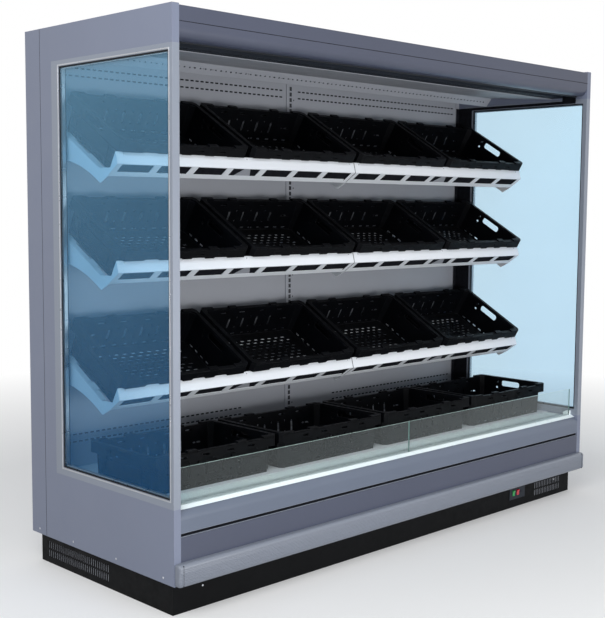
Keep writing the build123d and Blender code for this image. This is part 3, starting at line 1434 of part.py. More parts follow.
write(rocker(rocker_x[0]), "light_rocker")
write(rocker(rocker_x[1]), "fan_rocker")

box_front = PLINTH_FRONT_INSET + SHEET + BOX_FRONT_GAP
box_centre = (deep(box_front + BOX_DEPTH / 2), BODY_BOTTOM - BOX_HEIGHT / 2)
gland_bottom = BODY_BOTTOM - BOX_HEIGHT - GLAND_LENGTH
gland_place = (panel_x + GLAND_OFFSET, box_centre[0])
with BuildPart() as electrical_box:
    with Locations((panel_x, *box_centre)):
        Box(BOX_LENGTH, BOX_DEPTH, BOX_HEIGHT)
        Box(
            BOX_LENGTH - 2 * SHEET,
            BOX_DEPTH - 2 * SHEET,
            BOX_HEIGHT - 2 * SHEET,
            mode=Mode.SUBTRACT,
        )
    with BuildSketch(Plane.XY.offset(gland_bottom)):
        with Locations(gland_place):
            RegularPolygon(GLAND_RADIUS, 6)
    extrude(amount=GLAND_LENGTH)
    with BuildSketch(Plane.XY.offset(gland_bottom)):
        with Locations(gland_place):
            Circle(GLAND_BORE)
    extrude(amount=GLAND_LENGTH + SHEET, mode=Mode.SUBTRACT)
write(electrical_box.part, "electrical_box")
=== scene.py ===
"""Open multideck display fridge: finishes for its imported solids, finer pieces for some, and a stage."""

from math import cos, hypot, pi, radians, sin

import bmesh
import bpy
from mathutils import Matrix, Vector


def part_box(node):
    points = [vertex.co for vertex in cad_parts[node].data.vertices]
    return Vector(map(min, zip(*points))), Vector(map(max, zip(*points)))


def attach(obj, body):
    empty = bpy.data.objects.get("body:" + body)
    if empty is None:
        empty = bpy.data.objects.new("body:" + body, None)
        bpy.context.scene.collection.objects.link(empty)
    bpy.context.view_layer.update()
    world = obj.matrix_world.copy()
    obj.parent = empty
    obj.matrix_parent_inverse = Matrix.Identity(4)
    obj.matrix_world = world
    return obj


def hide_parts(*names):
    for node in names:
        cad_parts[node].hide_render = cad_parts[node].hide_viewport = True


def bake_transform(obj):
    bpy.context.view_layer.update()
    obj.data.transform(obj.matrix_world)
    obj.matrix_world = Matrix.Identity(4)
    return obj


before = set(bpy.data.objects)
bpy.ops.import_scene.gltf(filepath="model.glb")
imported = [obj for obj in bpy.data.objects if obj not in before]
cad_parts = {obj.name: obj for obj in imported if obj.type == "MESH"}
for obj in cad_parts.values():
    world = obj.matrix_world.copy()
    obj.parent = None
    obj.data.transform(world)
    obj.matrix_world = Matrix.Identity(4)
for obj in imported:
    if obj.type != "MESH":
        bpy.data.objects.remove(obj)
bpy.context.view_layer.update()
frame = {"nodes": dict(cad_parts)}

bl_info = {
    "name": "Display Fridge", "version": (1, 0, 0), "blender": (4, 5, 0),
    "location": "View3D > Sidebar > Display Fridge",
    "description": "Finishes and fine pieces of an open multideck display fridge", "category": "Object",
}

# -------------------- places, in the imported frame
MM = 0.001
FRONT_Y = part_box("end_panel_left")[0].y  # front face of the end walls
HALF_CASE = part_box("end_panel_right")[1].x / MM
HALF_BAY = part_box("end_panel_right")[0].x / MM
CASE = Matrix.Translation((0, FRONT_Y, 0)) @ Matrix.Diagonal((MM, MM, MM, 1))
ROWS = ("low", "middle", "top")
CRATE_ROWS = ("deck", *ROWS)
CRATES = 4
TILT = radians(30)  # of the shelves' crates


def span(node):
    """Limits of a CAD node in case millimetres: x along, depth behind the front, height."""
    low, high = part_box(node)
    return [
        (low.x / MM, high.x / MM), ((low.y - FRONT_Y) / MM, (high.y - FRONT_Y) / MM),
        (low.z / MM, high.z / MM),
    ]


def srgb(hexcode):
    """A colour written as #rrggbb, in linear light."""
    parts = [int(hexcode[i : i + 2], 16) / 255 for i in (1, 3, 5)]
    return tuple(c / 12.92 if c <= 0.04045 else ((c + 0.055) / 1.055) ** 2.4 for c in parts)


# -------------------- settings
def colour(name, description, hexcode):
    return bpy.props.FloatVectorProperty(
        name=name, description=description, subtype="COLOR", size=3, min=0, max=1, default=srgb(hexcode)
    )


def length(name, description, millimetres):
    return bpy.props.FloatProperty(
        name=name, description=description, unit="LENGTH", min=0, default=millimetres * MM
    )


class FridgeColours(bpy.types.PropertyGroup):
    side: colour("Side paint", "Powder coat of the end walls, back and roof", "#747b8f")
    # front and panel are the side paint darkened: painted shade of the fascia and the front panels
    front: colour("Front paint", "Darker powder coat of the fascia and lower front panel", "#44495b")
    panel: colour("Upper panel paint", "Powder coat of the upper front panel", "#5f6879")
    frame: colour("Window frame", "Anodised frame round each end window", "#878e9b")
    wall: colour("Rear wall", "Coated sheet of the rear wall, ceiling and uprights", "#989ba3")
    shelf: colour("Shelves", "White coat of the shelf rails, arms and deck pans", "#dfe3e9")
    plinth: colour("Plinth", "Coat of the plinth boards", "#08090b")
    bumper: colour("Bumper", "Ribbed bumper along the front", "#777d89")
    crate: colour("Crates", "Moulded polypropylene of the crates", "#050609")
    trim: colour("Trim", "Moulded black plastic of end caps and housings", "#1c222b")
    # the two end glass colours tint the glass's lit film, a painted reflection, paler near the top
    end_glass: colour("End glass", "Tint of the end windows near their foot", "#2f7fba")
    end_glass_top: colour("End glass, top", "Tint of the end windows near their top", "#9bd6f6")
    # the riser film is a faint painted reflection on the panes
    riser_glass: colour("Riser glass", "Film on the front riser panes", "#d5dee0")
    grille: colour("Air return grille", "Ribbed ledge in front of the deck", "#f0fcff")
    blind: colour("Night blind", "Woven polyester of the blind", "#8f949c")


class FridgeSizes(bpy.types.PropertyGroup):
    crate_wall: length("Crate wall", "Thickness of the crate's walls and floor", 3)
    crate_rim: length("Crate rim", "How far the crate's rim stands out of its walls", 15)
    floor_slot: length("Floor slot", "Length of the slots in the crate's floor", 24)
    bumper_rib: length("Bumper rib", "Distance between the bumper's ribs", 5)
    pane: length("Pane", "Thickness of each pane of the end windows", 4)
    glass_bevel: length("Glass edge", "Ground edge of the riser panes", 0.8)
    screw: length("Screw head", "Radius of the screw heads", 4)
    cloth_slack: length("Blind slack", "How far the blind's cloth bellies between roll and bar", 0.5)
    show_stage: bpy.props.BoolProperty(name="Stage", description="Add the floor and the lights", default=True)


def size(name):
    """A setting's length in millimetres."""
    return getattr(bpy.context.scene.fridge_sizes, name) / MM


# -------------------- finishes
def add(tree, kind, inputs=None, **settings):
    """Adds a shader node by the end of its type's name, and fills inputs with values or outputs."""
    made = tree.nodes.new("ShaderNode" + kind)
    for key, value in settings.items():
        setattr(made, key, value)
    for key, value in (inputs or {}).items():
        if isinstance(value, bpy.types.NodeSocket):
            tree.links.new(value, made.inputs[key])
        else:
            made.inputs[key].default_value = value
    return made


def shade(tone, factor):
    return (*[min(1, max(0, c * factor)) for c in tone], 1)


def blank(name):
    """A material with an empty node tree, its output node and Object coordinates."""
    material = bpy.data.materials.new(name)
    material.use_nodes = True
    tree = material.node_tree
    tree.nodes.clear()
    place = add(tree, "TexCoord").outputs["Object"]
    return material, tree, add(tree, "OutputMaterial"), place


def vary(tree, vector, scale, low, high, detail=3.0):
    """Cloudy noise stretched to run between two numbers."""
    noise = add(tree, "TexNoise", {"Vector": vector, "Scale": scale, "Detail": detail})
    return add(tree, "MapRange", {0: noise.outputs[0], 1: 0.3, 2: 0.7, 3: low, 4: high}).outputs[0]


def blend(tree, share, one, two):
    """A colour between two, which are colours or outputs."""
    return add(tree, "Mix", {0: share, 6: one, 7: two}, data_type="RGBA").outputs[2]


def product(tree, one, two):
    return add(tree, "Math", {0: one, 1: two}, operation="MULTIPLY").outputs[0]


def principled(tree, output, inputs):
    """Adds the Principled shader and shows it as the surface."""
    shader = add(tree, "BsdfPrincipled", inputs)
    tree.links.new(shader.outputs[0], output.inputs[0])


def finish(
    name, tone, spread=0.05, mottle=3.0, rough=(0.35, 0.5), metallic=0.0, grain=1500.0, relief=0.03,
    stretch=(1, 1, 1), edge=0.8, edge_wear_and_highlight=0.0, wear_and_highlight_tone=(0.6, 0.6, 0.62), coat=0.0, dust=0.0, specular=0.5,
    pattern="TexNoise",
):
    """A solid finish: cloudy colour, uneven gloss, fine relief, soft edges, dust, and edges in another tone,
    partly wear and partly painted highlight.
    """
    _, tree, output, place = blank(name)
    place = add(tree, "Mapping", {"Vector": place, "Scale": stretch}).outputs[0]
    base = blend(tree, vary(tree, place, mottle, 0, 1, 5.0), shade(tone, 1 - spread), shade(tone, 1 + spread))
    fine = add(tree, pattern, {"Vector": place, "Scale": grain}).outputs[0]
    soft = add(tree, "Bevel", {"Radius": edge * MM}, samples=4)
    flat = add(tree, "NewGeometry").outputs["Normal"]
    if dust:
        up = add(tree, "SeparateXYZ", {0: flat}).outputs[2]
        lying = add(tree, "MapRange", {0: up, 1: 0.5, 2: 1.0, 3: 0, 4: dust}).outputs[0]
        base = blend(tree, product(tree, lying, vary(tree, place, 14.0, 0.3, 1)), base, (0.35, 0.34, 0.33, 1))
    # edges and creases, where the bevelled normal turns from the flat one, take another tone: partly wear,
    # partly painted highlight
    if edge_wear_and_highlight:
        turn = add(tree, "VectorMath", {0: soft.outputs[0], 1: flat}, operation="DOT_PRODUCT")
        edges = add(
            tree, "MapRange", {0: turn.outputs["Value"], 1: 0.98, 2: 0.8, 3: 0, 4: edge_wear_and_highlight}
        ).outputs[0]
        base = blend(tree, product(tree, edges, vary(tree, place, 30.0, 0, 1)), base, (*wear_and_highlight_tone, 1))
    bump = add(
        tree, "Bump", {"Strength": relief, "Distance": MM, "Height": fine, "Normal": soft.outputs[0]},
    ).outputs[0]
    gloss = vary(tree, place, mottle * 6, rough[0], rough[1])
    principled(tree, output, {
        "Base Color": base, "Roughness": gloss, "Normal": bump, "Metallic": metallic,
        "Coat Weight": coat, "Specular IOR Level": specular,
    })


def glazing(name, clear_tint, foot_reflection_film, top_reflection_film, share):
    """Clear glass under a thin lit film, a painted reflection that is patchy, stronger at grazing angles and
    changes from foot to top, with wipe marks.
    """
    _, tree, output, place = blank(name)
    clear = add(tree, "BsdfTransparent", {"Color": (*clear_tint, 1)})
    height = add(tree, "SeparateXYZ", {0: place}).outputs[2]
    rise = add(tree, "MapRange", {0: height, 1: 0.5, 2: 1.9, 3: 0, 4: 1}).outputs[0]
    wipes = add(tree, "Mapping", {"Vector": place, "Scale": (1, 1, 6)}).outputs[0]
    film = add(
        tree,
        "BsdfPrincipled",
        {
            "Base Color": blend(tree, rise, (*foot_reflection_film, 1), (*top_reflection_film, 1)),
            "Roughness": vary(tree, wipes, 9.0, 0.03, 0.09),
        },
    )
    facing = add(tree, "LayerWeight", {"Blend": 0.5}).outputs["Facing"]
    grazing = add(tree, "Math", {0: facing, 1: 4.0}, operation="POWER").outputs[0]
    patchy_reflection = vary(tree, place, 2.5, share * 0.9, share * 1.1, 4.0)
    total = add(tree, "Math", {0: patchy_reflection, 1: grazing}, operation="ADD", use_clamp=True).outputs[0]
    mix = add(tree, "MixShader", {0: total, 1: clear.outputs[0], 2: film.outputs[0]})
    tree.links.new(mix.outputs[0], output.inputs[0])


def woven(name, tone):
    """Plain weave: crossing threads in relief, slightly uneven in colour."""
    _, tree, output, place = blank(name)
    threads = [
        add(
            tree, "TexWave", {"Vector": place, "Scale": 180.0, "Distortion": 0.4, "Detail": 1.0},
            bands_direction=direction,
        ).outputs[1]
        for direction in ("X", "Z")
    ]
    weave = product(tree, *threads)
    bump = add(tree, "Bump", {"Strength": 0.3, "Distance": 0.3 * MM, "Height": weave}).outputs[0]
    principled(tree, output, {
        "Base Color": blend(tree, weave, shade(tone, 0.8), shade(tone, 1.15)),
        "Roughness": vary(tree, place, 20.0, 0.75, 0.9), "Normal": bump, "Sheen Weight": 0.2,
    })


def milky(name, tone):
    """Opal plastic: soft gloss over a faint even glow, a little darker in its clouds."""
    _, tree, output, place = blank(name)
    tones = blend(tree, vary(tree, place, 8.0, 0, 1), shade(tone, 0.9), shade(tone, 1.05))
    principled(tree, output, {
        "Base Color": tones, "Roughness": vary(tree, place, 60.0, 0.3, 0.45),
        "Emission Color": tones, "Emission Strength": 0.05,
    })


def make_finishes():
    """Every finish, by the name of what it is."""
    chosen = bpy.context.scene.fridge_colours
    tone = {key: tuple(getattr(chosen, key)) for key in FridgeColours.__annotations__}
    # even satin powder coat: faint orange peel, folds a little lighter, partly rubbed and partly painted
    # highlight
    finish("side_powder_coat", tone["side"], 0.035, 1.5, (0.32, 0.42), relief=0.05, edge_wear_and_highlight=0.15)
    # the same coat darkened as painted shade of the front, slightly glossier
    finish("front_powder_coat", tone["front"], 0.035, 1.5, (0.28, 0.38), relief=0.05, edge_wear_and_highlight=0.15)
    # the same coat, darkened less, as painted shade of the upper front panel
    finish("panel_powder_coat", tone["panel"], 0.035, 1.5, (0.28, 0.38), relief=0.05, edge_wear_and_highlight=0.15)
    # anodised extrusion: smooth, drawn along its length, bright at its edges with painted highlight and some
    # wear
    finish("anodised_frame", tone["frame"], 0.03, 2.0, (0.3, 0.4), 0.25, stretch=(1, 1, 0.1), edge_wear_and_highlight=0.4)
    # matt coated sheet with slight waviness, its edges a little lighter with wear and painted highlight
    finish("grey_sheet_coat", tone["wall"], 0.04, 2.0, (0.4, 0.55), relief=0.04, edge_wear_and_highlight=0.1)
    # bright shelf coat, a little grubby on its flats
    finish("white_shelf_coat", tone["shelf"], 0.02, 5.0, (0.3, 0.42), relief=0.04, edge_wear_and_highlight=0.1, edge=1.0)
    # satin black plinth coat: low gloss, folds paler, partly scuffed and partly painted highlight, a trace of
    # dust
    finish(
        "black_plinth_coat", tone["plinth"], 0.2, 5.0, (0.4, 0.6), relief=0.06, edge_wear_and_highlight=0.1,
        wear_and_highlight_tone=(0.15, 0.15, 0.16), dust=0.02, specular=0.08,
    )
    # zinc: spangles in gloss and tone
    finish(
        "galvanised_steel", srgb("#9b9ea1"), 0.15, 60.0, (0.3, 0.5), 0.85, grain=160.0, relief=0.05,
        pattern="TexVoronoi",
    )
    # drawn aluminium: lengthwise lines
    finish("mill_aluminium", srgb("#b9bcc1"), 0.08, 6.0, (0.25, 0.4), 0.9, stretch=(0.02, 1, 1))
    # drawn copper: glossy, darkened in patches
    finish("copper_tube", srgb("#b8704a"), 0.2, 18.0, (0.2, 0.4), 0.95)
    # dark anodised pull bar: drawn lines, faint sheen
    finish(
        "dark_anodised_bar", srgb("#2b2e33"), 0.1, 6.0, (0.35, 0.5), 0.3, stretch=(0.02, 1, 1), specular=0.2
    )
    # moulded black trim: fine spark texture
    finish(
        "moulded_black_trim", tone["trim"], 0.08, 8.0, (0.4, 0.55), grain=2500.0, relief=0.1, specular=0.25
    )
    # crate polypropylene: low gloss, edges paler, partly scuffed and partly painted highlight, a trace of
    # dust on its floor
    finish(
        "crate_polypropylene", tone["crate"], 0.25, 12.0, (0.32, 0.5), grain=1200.0, relief=0.08,
        edge=1.2, edge_wear_and_highlight=0.6, wear_and_highlight_tone=(0.09, 0.09, 0.1), dust=0.01, specular=0.07,
    )
    # soft grey bumper: dull, the edges of its ribs lighter, partly rubbed and partly painted highlight
    finish(
        "bumper_profile", tone["bumper"], 0.05, 4.0, (0.35, 0.5), relief=0.05, stretch=(0.1, 1, 1), edge_wear_and_highlight=0.1
    )
    # pale grille plastic: smooth and slightly glossy
    finish("pale_grille_plastic", tone["grille"], 0.05, 6.0, (0.25, 0.4), relief=0.05)
    # the shaded bottoms of the grille's grooves
    finish("groove_shadow", shade(tone["grille"], 0.55)[:3], 0.15, 20.0, (0.5, 0.6), relief=0.05)
    # grey box plastic: coarse moulded grain
    finish("grey_box_plastic", srgb("#8a8f94"), 0.05, 10.0, (0.4, 0.55), relief=0.12)
    # glossy coloured rockers
    finish("green_rocker_plastic", srgb("#1f9c4a"), 0.1, 90.0, (0.2, 0.35), coat=0.3)
    finish("red_rocker_plastic", srgb("#c8263a"), 0.1, 90.0, (0.2, 0.35), coat=0.3)
    # black rubber: dull, finely pitted
    finish("rubber_seal", srgb("#17181b"), 0.15, 20.0, (0.55, 0.75), grain=2000.0, relief=0.15, specular=0.2)
    # zinc-plated screw heads: small and bright
    finish("plated_screw", srgb("#c4c7cc"), 0.1, 300.0, (0.2, 0.35), 0.9, grain=4000.0)
    # the dark of an opening: no gloss at all
    finish("duct_shadow", srgb("#191a1f"), 0.3, 40.0, (0.85, 0.95), relief=0.2, specular=0.05)
    # ground glass edge: pale green and bright
    finish("ground_glass_edge", srgb("#d9f5ec"), 0.08, 30.0, (0.15, 0.3), coat=0.4)
    # end of a pane, seen through it: deeper green
    finish("deep_glass_edge", srgb("#6f908a"), 0.1, 30.0, (0.2, 0.35), coat=0.3)
    # blue glass with wipe marks; its film, a painted reflection, is paler towards its top
    glazing("tinted_end_glass", (0.893, 0.962, 0.998), tone["end_glass"], tone["end_glass_top"], 0.05)
    # almost clear glass with wipe marks, under a faint film of painted reflection
    glazing("clear_riser_glass", (0.965, 0.985, 0.98), tone["riser_glass"], tone["riser_glass"], 0.028)
    # grey woven cloth, its threads drawn a little coarse so that they show
    woven("woven_blind_cloth", tone["blind"])
    # white lens with a faint glow
    milky("milky_lamp_lens", srgb("#d8dade"))


SLOT_FINISH = {
    "lilac_paint": "side_powder_coat", "window_aluminium": "anodised_frame",
    "grey_paint": "grey_sheet_coat", "white_paint": "white_shelf_coat",
    "black_paint": "black_plinth_coat", "zinc_steel": "galvanised_steel",
    "bare_aluminium": "mill_aluminium", "copper": "copper_tube", "black_plastic": "moulded_black_trim",
    "crate_plastic": "crate_polypropylene", "bumper_plastic": "bumper_profile",
    "grille_plastic": "pale_grille_plastic", "grey_plastic": "grey_box_plastic",
    "green_plastic": "green_rocker_plastic", "red_plastic": "red_rocker_plastic",
    "end_glass": "tinted_end_glass", "riser_glass": "clear_riser_glass",
    "blind_fabric": "woven_blind_cloth", "lamp_lens": "milky_lamp_lens",
}
# the fascia and front panels take the darkened copies of the side paint, as painted shade
NODE_FINISH = {
    "canopy_fascia": "front_powder_coat", "upper_front_panel": "panel_powder_coat",
    "lower_front_panel": "front_powder_coat", "riser_holder": "pale_grille_plastic",
    "blind_bar": "dark_anodised_bar",
}


def dress_nodes():
    """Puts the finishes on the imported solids."""
    for name, node in frame["nodes"].items():
        for place in node.material_slots:
            kind = NODE_FINISH.get(name) or SLOT_FINISH[place.material.name]
            place.material = bpy.data.materials[kind]


# -------------------- mesh helpers, in millimetres
def box(bm, *spans):
    """A closed box between limits along x, depth and height."""
    middle = [(low + high) / 2 for low, high in spans]
    extent = [high - low for low, high in spans]
    matrix = Matrix.Translation(middle) @ Matrix.Diagonal((*extent, 1))
    bmesh.ops.create_cube(bm, size=1, matrix=matrix)


TURNS = {
    "x": Matrix.Rotation(pi / 2, 4, "Y"), "depth": Matrix.Rotation(pi / 2, 4, "X"),
    "height": Matrix.Identity(4),
}


def rod(bm, centre, along, radius, reach, segments=16):
    """A closed cylinder about its centre."""
    bmesh.ops.create_cone(
        bm, cap_ends=True, segments=segments, radius1=radius, radius2=radius, depth=reach,
        matrix=Matrix.Translation(centre) @ TURNS[along],
    )


def thicken(bm, faces, shift):
    """Extrudes faces by a vector into a closed shell."""
    grown = bmesh.ops.extrude_face_region(bm, geom=faces)["geom"]
    verts = [part for part in grown if isinstance(part, bmesh.types.BMVert)]
    bmesh.ops.translate(bm, verts=verts, vec=shift)


def draw_out(bm, loops):
    """Extrudes a face through loops of as many points each."""
    face = bm.faces.new([bm.verts.new(point) for point in loops[0]])
    for loop in loops[1:]:
        grown = bmesh.ops.extrude_face_region(bm, geom=[face, *face.edges])["geom"]
        face = next(part for part in grown if isinstance(part, bmesh.types.BMFace))
        for vert, point in zip(face.verts, loop):
            vert.co = point


def run(bm, outline, low, high):
    """A (depth, height) outline extruded along x."""
    draw_out(bm, [[(x, depth, height) for depth, height in outline] for x in (low, high)])


def rounded(centre, extent, radius, steps=3):
    """Outline of a rectangle with round corners."""
    points = []
    for quarter, (su, sv) in enumerate(((1, 1), (-1, 1), (-1, -1), (1, -1))):
        for step in range(steps + 1):
            angle = (quarter + step / steps) * pi / 2
            points.append(
                (
                    centre[0] + su * (extent[0] / 2 - radius) + radius * cos(angle),
                    centre[1] + sv * (extent[1] / 2 - radius) + radius * sin(angle),
                )
            )
    return points


def circle(centre, radius):
    return rounded(centre, (2 * radius, 2 * radius), radius)


def oblong(u_low, u_high, v_low, v_high):
    """Outline of a plain rectangle."""
    return [(u_low, v_low), (u_high, v_low), (u_high, v_high), (u_low, v_high)]


def plate(bm, outline, holes, low, high, place):
    """A plate: an outline in (u, v) less its holes, from low to high in w, put in place."""
    flat = bmesh.new()
    for loop in (outline, *holes):
        verts = [flat.verts.new((*point, low)) for point in loop]
        for one, two in zip(verts, verts[1:] + verts[:1]):
            if (one.co - two.co).length > 1e-3:
                flat.edges.new((one, two))
    bmesh.ops.remove_doubles(flat, verts=flat.verts[:], dist=1e-3)
    bmesh.ops.triangle_fill(flat, use_beauty=True, edges=flat.edges[:])
    thicken(flat, flat.faces[:], (0, 0, high - low))
    for vert in flat.verts:
        vert.co = place(*vert.co)
    mesh = bpy.data.meshes.new("plate")
    flat.to_mesh(mesh)
    flat.free()
    bm.from_mesh(mesh)
    bpy.data.meshes.remove(mesh)


def framed(bm, xs, depths, heights, width):
    """Four bars round a rectangle in depth and height."""
    (d_low, d_high), (z_low, z_high) = depths, heights
    box(bm, xs, (d_low, d_low + width), (z_low, z_high))
    box(bm, xs, (d_high - width, d_high), (z_low, z_high))
    box(bm, xs, (d_low + width, d_high - width), (z_low, z_low + width))
    box(bm, xs, (d_low + width, d_high - width), (z_high - width, z_high))


def both_sides(bm):
    """Mirrors all of a bmesh to the other end of the case."""
    everything = bm.verts[:] + bm.edges[:] + bm.faces[:]
    bmesh.ops.mirror(bm, geom=everything, axis="X", merge_dist=-1)


def dressed(name, mesh, material, slot, body="case", replaced=(), bevel=0.0, sharp=35):
    """Makes an object of a mesh, finishes it and lets it ride on a body."""
    mesh.materials.append(bpy.data.materials[material])
    mesh.shade_smooth()
    mesh.set_sharp_from_angle(angle=radians(sharp))
    made = bpy.data.objects.new(name, mesh)
    bpy.context.collection.objects.link(made)
    if bevel:
        soft = made.modifiers.new("edges", "BEVEL")
        soft.width = bevel * MM
        soft.segments = 2
        soft.limit_method = "ANGLE"
        soft.angle_limit = radians(40)
        soft.harden_normals = True
    if body:
        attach(made, body)
    if replaced:
        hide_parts(*replaced)
    return made


def piece(name, bm, material, slot, **more):
    """A finished object from a bmesh in case millimetres."""
    bmesh.ops.recalc_face_normals(bm, faces=bm.faces)
    bm.transform(CASE)
    mesh = bpy.data.meshes.new(name)
    bm.to_mesh(mesh)
    bm.free()
    return dressed(name, mesh, material, slot, **more)


# -------------------- crate
CRATE_SKIRT = 36.0
CRATE_DRAFT = 7.0
CRATE_LEDGE = 7.0  # raised corners and tabs above the rim
CRATE_CUT = 14.0  # corner chamfer
CORNER_LEDGE = 72.0  # length of each raised corner
CRATE_TAB = 120.0  # from the middle to each raised tab


def crate_mesh():
    """Perforated crate in its own frame: x along, y back from the front rim, z up from the floor."""
    (x_low, x_high), (d_low, d_high), (z_low, z_high) = span("crate_deck_1")
    long, wide, tall = x_high - x_low, d_high - d_low, z_high - z_low
    wall, rim, slot, cut = size("crate_wall"), size("crate_rim"), size("floor_slot"), CRATE_CUT
    top = tall - CRATE_LEDGE
    half, mid = long / 2, wide / 2
    bm = bmesh.new()

    def inset(z):
        return rim + CRATE_DRAFT * (1 - z / top)

    def octagon(off):
        u, v = half - off, mid - off
        return [
            (u, v - cut), (u - cut, v), (cut - u, v), (-u, v - cut),
            (-u, cut - v), (cut - u, -v), (u - cut, -v), (u, cut - v),
        ]

    def level(u, v, w):
        return (u, mid + v, w)

    def front(u, v, w):
        return (u, inset(v) + w, v)

    def rear(u, v, w):
        return (u, wide - inset(v) - w, v)

    def left(u, v, w):
        return (-half + inset(v) + w, mid + u, v)

    def right(u, v, w):
        return (half - inset(v) - w, mid + u, v)

    # floor with staggered slots and a solid border
    pitch_u, pitch_v = slot + 16.0, 21.0
    rows, columns = int((wide - 120) / pitch_v), int((long - 130) / pitch_u)
    floor_slots = [
        rounded(
            (
                (column - (columns - 1) / 2) * pitch_u + (row % 2 - 0.5) * pitch_u / 2,
                (row - (rows - 1) / 2) * pitch_v,
            ),
            (slot, 8),
            3.5,
            1,
        )
        for row in range(rows)
        for column in range(columns)
    ]
    plate(bm, octagon(rim + CRATE_DRAFT), floor_slots, 0, wall, level)

    # walls, each drawn as if flat and leant by the draft
    foot = rim + CRATE_DRAFT + cut
    long_holes = [rounded((x, 68), (12, 50), 5) for x in (-120, -40, 40, 120)]
    long_holes += [rounded((x, 123), (36, 8), 3.5) for x in (-165, -60, 60, 165)]
    long_holes += [circle((x, z), 4.5) for x in (-80, 0, 80) for z in (46, 94)]
    long_holes += [rounded((x, 13), (24, 7), 3) for x in range(-225, 226, 50)]
    long_holes += [rounded((x, 70), (44, 7), 3) for x in (-205, 205)]
    short_holes = [rounded((0, top - 23), (110, 28), 12, 5)]
    short_holes += [circle((82, z), 6.5) for z in (top - 19, top - 47)]
    short_holes += [rounded((u, 13), (22, 7), 3) for u in range(-120, 121, 40)]
    for reach, holes, faces in (
        (half - foot, long_holes, (front, rear)), (mid - foot, short_holes, (left, right))
    ):
        outline = oblong(-reach, reach, 0, top)
        for face in faces:
            plate(bm, outline, holes, 0, wall, face)

    # cut corners of the walls and of the skirt
    for sx in (-1, 1):
        for sy in (-1, 1):
            inward = Vector((-sx, -sy)).normalized() * wall
            for leant, edge, heights in ((1, foot, (0, top)), (0, cut, (top - CRATE_SKIRT, top - 1))):
                loops = []
                for z in heights:
                    off = inset(z) * leant
                    a = Vector((sx * (half - edge), mid + sy * (mid - off)))
                    b = Vector((sx * (half - off), mid + sy * (mid - edge)))
                    loops.append([(*a, z), (*b, z), (*(b + inward), z), (*(a + inward), z)])
                draw_out(bm, loops)

    # rim: top plate, scalloped skirt with hand holes, raised ends and tabs
    plate(bm, octagon(0), [octagon(rim + wall)], top - wall, top, level)
    low, high, end = top - CRATE_SKIRT, top - 1, half - cut
    scallops = [(-end, low)]
    for centre in (-165, -55, 55, 165):
        scallops += [(centre - 34, low), (centre - 26, low + 7), (centre + 26, low + 7), (centre + 34, low)]
    scallops += [(end, low), (end, high), (-end, high)]
    plate(bm, scallops, long_holes[4:8], 0, wall, lambda u, v, w: (u, w, v))
    plate(bm, scallops, long_holes[4:8], 0, wall, lambda u, v, w: (u, wide - w, v))
    side = [(cut - mid, low), (-64, low), (-64, high - 4), (64, high - 4)]
    side += [(64, low), (mid - cut, low), (mid - cut, high), (cut - mid, high)]
    plate(bm, side, [circle((82, top - 19), 9.0)], 0, wall, lambda u, v, w: (-half + w, mid + u, v))
    plate(bm, side, [circle((82, top - 19), 9.0)], 0, wall, lambda u, v, w: (half - w, mid + u, v))
    inner = rim + wall
    for sx in (-1, 1):
        corner = [
            (half - CORNER_LEDGE, -mid), (end, -mid), (half, cut - mid),
            (half, mid - cut), (end, mid), (half - CORNER_LEDGE, mid),
            (half - CORNER_LEDGE, mid - inner), (half - inner - cut, mid - inner),
            (half - inner, mid - inner - cut), (half - inner, cut + inner - mid),
            (half - inner - cut, inner - mid), (half - CORNER_LEDGE, inner - mid),
        ]
        plate(bm, [(sx * u, v) for u, v in corner], [], top - 0.5, tall, level)
        for depth in (0.0, wide - inner):
            middle = sx * CRATE_TAB
            box(bm, (middle - 22, middle + 22), (depth, depth + inner), (top - 0.5, tall))

    # ribs outside the walls, apart from the front one, which leans on its rail
    for face, reach in ((rear, half - foot), (left, mid - foot), (right, mid - foot)):
        for z, out in ((28, 4.5), (88, 5.5)):
            plate(bm, oblong(-reach, reach, z - 1.2, z + 1.2), [], -out, 0.5, face)
        count = int(2 * reach / 54)
        for i in range(count + 1):
            u = (i / count - 0.5) * 2 * (reach - 2)
            if face is not rear and abs(u) < 100:
                continue
            plate(bm, oblong(u - 1.1, u + 1.1, 6, top - 2), [], -5.0, 0.5, face)
        for s in (-1, 1):
            for low_end, high_end in ((34, 84), (84, 34)):
                a, b = s * (reach - 4), s * (reach - 50)
                brace = [(a, low_end - 1.5), (b, high_end - 1.5), (b, high_end + 1.5), (a, low_end + 1.5)]
                plate(bm, brace, [], -3.5, 0.5, face)
    bmesh.ops.recalc_face_normals(bm, faces=bm.faces)
    mesh = bpy.data.meshes.new("crate_mould")
    bm.to_mesh(mesh)
    bm.free()
    return mesh


def add_crates():
    (_, _), (d_low, d_high), (z_low, z_high) = span("crate_deck_1")
    wide, tall = d_high - d_low, z_high - z_low
    skirt_foot = tall - CRATE_LEDGE - CRATE_SKIRT
    foot_rear = wide - size("crate_rim") - CRATE_DRAFT
    mould = crate_mesh()
    for row in CRATE_ROWS:
        tilt = 0.0 if row == "deck" else TILT
        for number in range(1, CRATES + 1):
            node = f"crate_{row}_{number}"
            (x_low, x_high), (_, rear), (_, top) = span(node)
            reach = max(wide * cos(tilt) - skirt_foot * sin(tilt), foot_rear * cos(tilt))
            rise = wide * sin(tilt) + tall * cos(tilt)
            at = Matrix.Translation(((x_low + x_high) / 2, rear - reach, top - rise))
            mesh = mould.copy()
            mesh.transform(CASE @ at @ Matrix.Rotation(tilt, 4, "X"))
            mesh.name = f"perforated_{node}"
            dressed(
                mesh.name, mesh, "crate_polypropylene", "crate_plastic", body=node, replaced=(node,), sharp=30
            )
    bpy.data.meshes.remove(mould)


